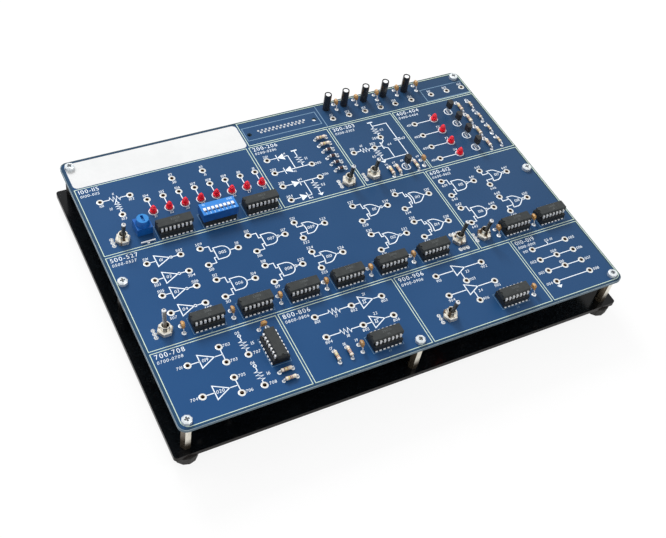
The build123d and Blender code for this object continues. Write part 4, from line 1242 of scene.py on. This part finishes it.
def name_field(bm):
    """The bare white field in the rear left corner."""
    patch(bm, rounded(2.3, 177.2, 114.6, 198.3, 3.0))


def print_board():
    """All the printing: pieces, their inks and what is drawn on each."""
    for name, ink, draws in (
        ("board_arris", "arris_lit", [near_arris]),
        ("board_arris_far", "arris_shaded", [far_arris]),
        ("name_field", "white_ink", [name_field]),
        ("panel_frames", "frame_ink", [frames]),
        ("fine_frames", "faint_ink", [fine_frames, socket_outlines]),
        ("layout_signs", "sign_ink", [
            titles, gates, source_signs, diode_signs, transistor_signs, indicator_signs,
            pulse_signs, delay_signs, driver_signs, channel_signs, supply_numbers,
            transistor_outlines, lamp_rings, inverters,
        ]),
        ("switch_numbers", "switch_ink", [switch_numbers]),
        ("chip_numbers", "chip_ink", [chip_numbers]),
    ):
        bm = bmesh.new()
        for draw in draws:
            draw(bm)
        mesh_object(name, bm, plain[ink])


jack_lands()
for dome in (
    ("toggle", "toggle_terminals", 1.30, 0.8),
    ("connector", "connector_contacts", 0.80, 0.45),
    ("lead", "bent_leads", 1.15, 0.5),
    ("ceramic", "ceramic_leads", 1.35, 0.45),
    ("link", "wire_link", 0.95, 0.5),
    ("transistor", "transistor_leads", 0.62, 0.4),
):
    solder_domes(*dome)
cross_recesses()
socket_pins()
resistor_dress()
diode_dress()
sleeve_lips()
rotor_skirt()
contact_mouths()
print_board()


# ---------------------------------------------------------------- setting

LOOK = (0.37926, 0.52813, -0.75977)     # the camera's way of looking, and its upper side
LOOK_UP = (0.26829, 0.72307, 0.63654)
CAMERA = (-109.72, -253.95, 465.17)     # its place from the layout's corner, in millimetres
FLOOR_GAP = 0.2 * MM
FLOOR_HALF = 6


def camera():
    """The camera that gives the product view."""
    cam = linked("view_camera", bpy.data.cameras.new("view_camera"))
    cam.data.sensor_width = 36
    cam.data.lens = 56.25
    cam.data.clip_start = 0.01
    cam.data.clip_end = 20
    look = Vector(LOOK).normalized()
    right = look.cross(Vector(LOOK_UP).normalized()).normalized()
    turn = Matrix((right, right.cross(look), -look)).transposed()
    cam.matrix_world = Matrix.Translation(DATUM + Vector(CAMERA) * MM) @ turn.to_4x4()
    bpy.context.scene.camera = cam


def area_light(name, where, size, power, mirrored=True):
    """A soft square box that faces the middle of the trainer."""
    data = bpy.data.lights.new(name, "AREA")
    data.shape = "RECTANGLE"
    data.size = data.size_y = size
    data.energy = power
    lamp = linked(name, data)
    where = Vector(where)
    lamp.matrix_world = Matrix.Translation(where) @ (-where).to_track_quat("-Z", "Y").to_matrix().to_4x4()
    lamp.visible_glossy = mirrored


def floor():
    """A wide pale floor under the feet."""
    bm = bmesh.new()
    bmesh.ops.create_grid(bm, x_segments=1, y_segments=1, size=FLOOR_HALF)
    mesh = bpy.data.meshes.new("floor")
    bm.to_mesh(mesh)
    bm.free()
    piece = linked("floor", mesh)
    piece.location.z = cad_low.z - FLOOR_GAP
    mesh.materials.append(floor_material())


def world():
    """Soft even surroundings, white where the camera sees past the floor."""
    scene = bpy.context.scene
    scene.world = bpy.data.worlds.new("studio")
    scene.world.use_nodes = True
    w = Graph(scene.world.node_tree)
    back = w.tree.nodes["Background"].inputs
    w.feed(back["Color"], (1, 1, 1, 1))
    seen = w.node("LightPath").outputs
    seen_by_camera = w.spread(seen["Is Camera Ray"], 0, 1, 0.64, 1.0)
    mirrored = w.spread(seen["Is Glossy Ray"], 0, 1, 0.64, 0.86)
    w.feed(back["Strength"], w.joined("MAXIMUM", seen_by_camera, mirrored))


camera()
floor()
world()
area_light("key_light", (-0.6, 0.9, 1.3), 0.9, 7)
area_light("back_light", (-0.05, 1.15, 0.98), 0.45, 17, mirrored=False)
area_light("fill_light", (0.9, -0.6, 1.1), 1.0, 3)
bpy.context.scene.view_settings.view_transform = "Standard"
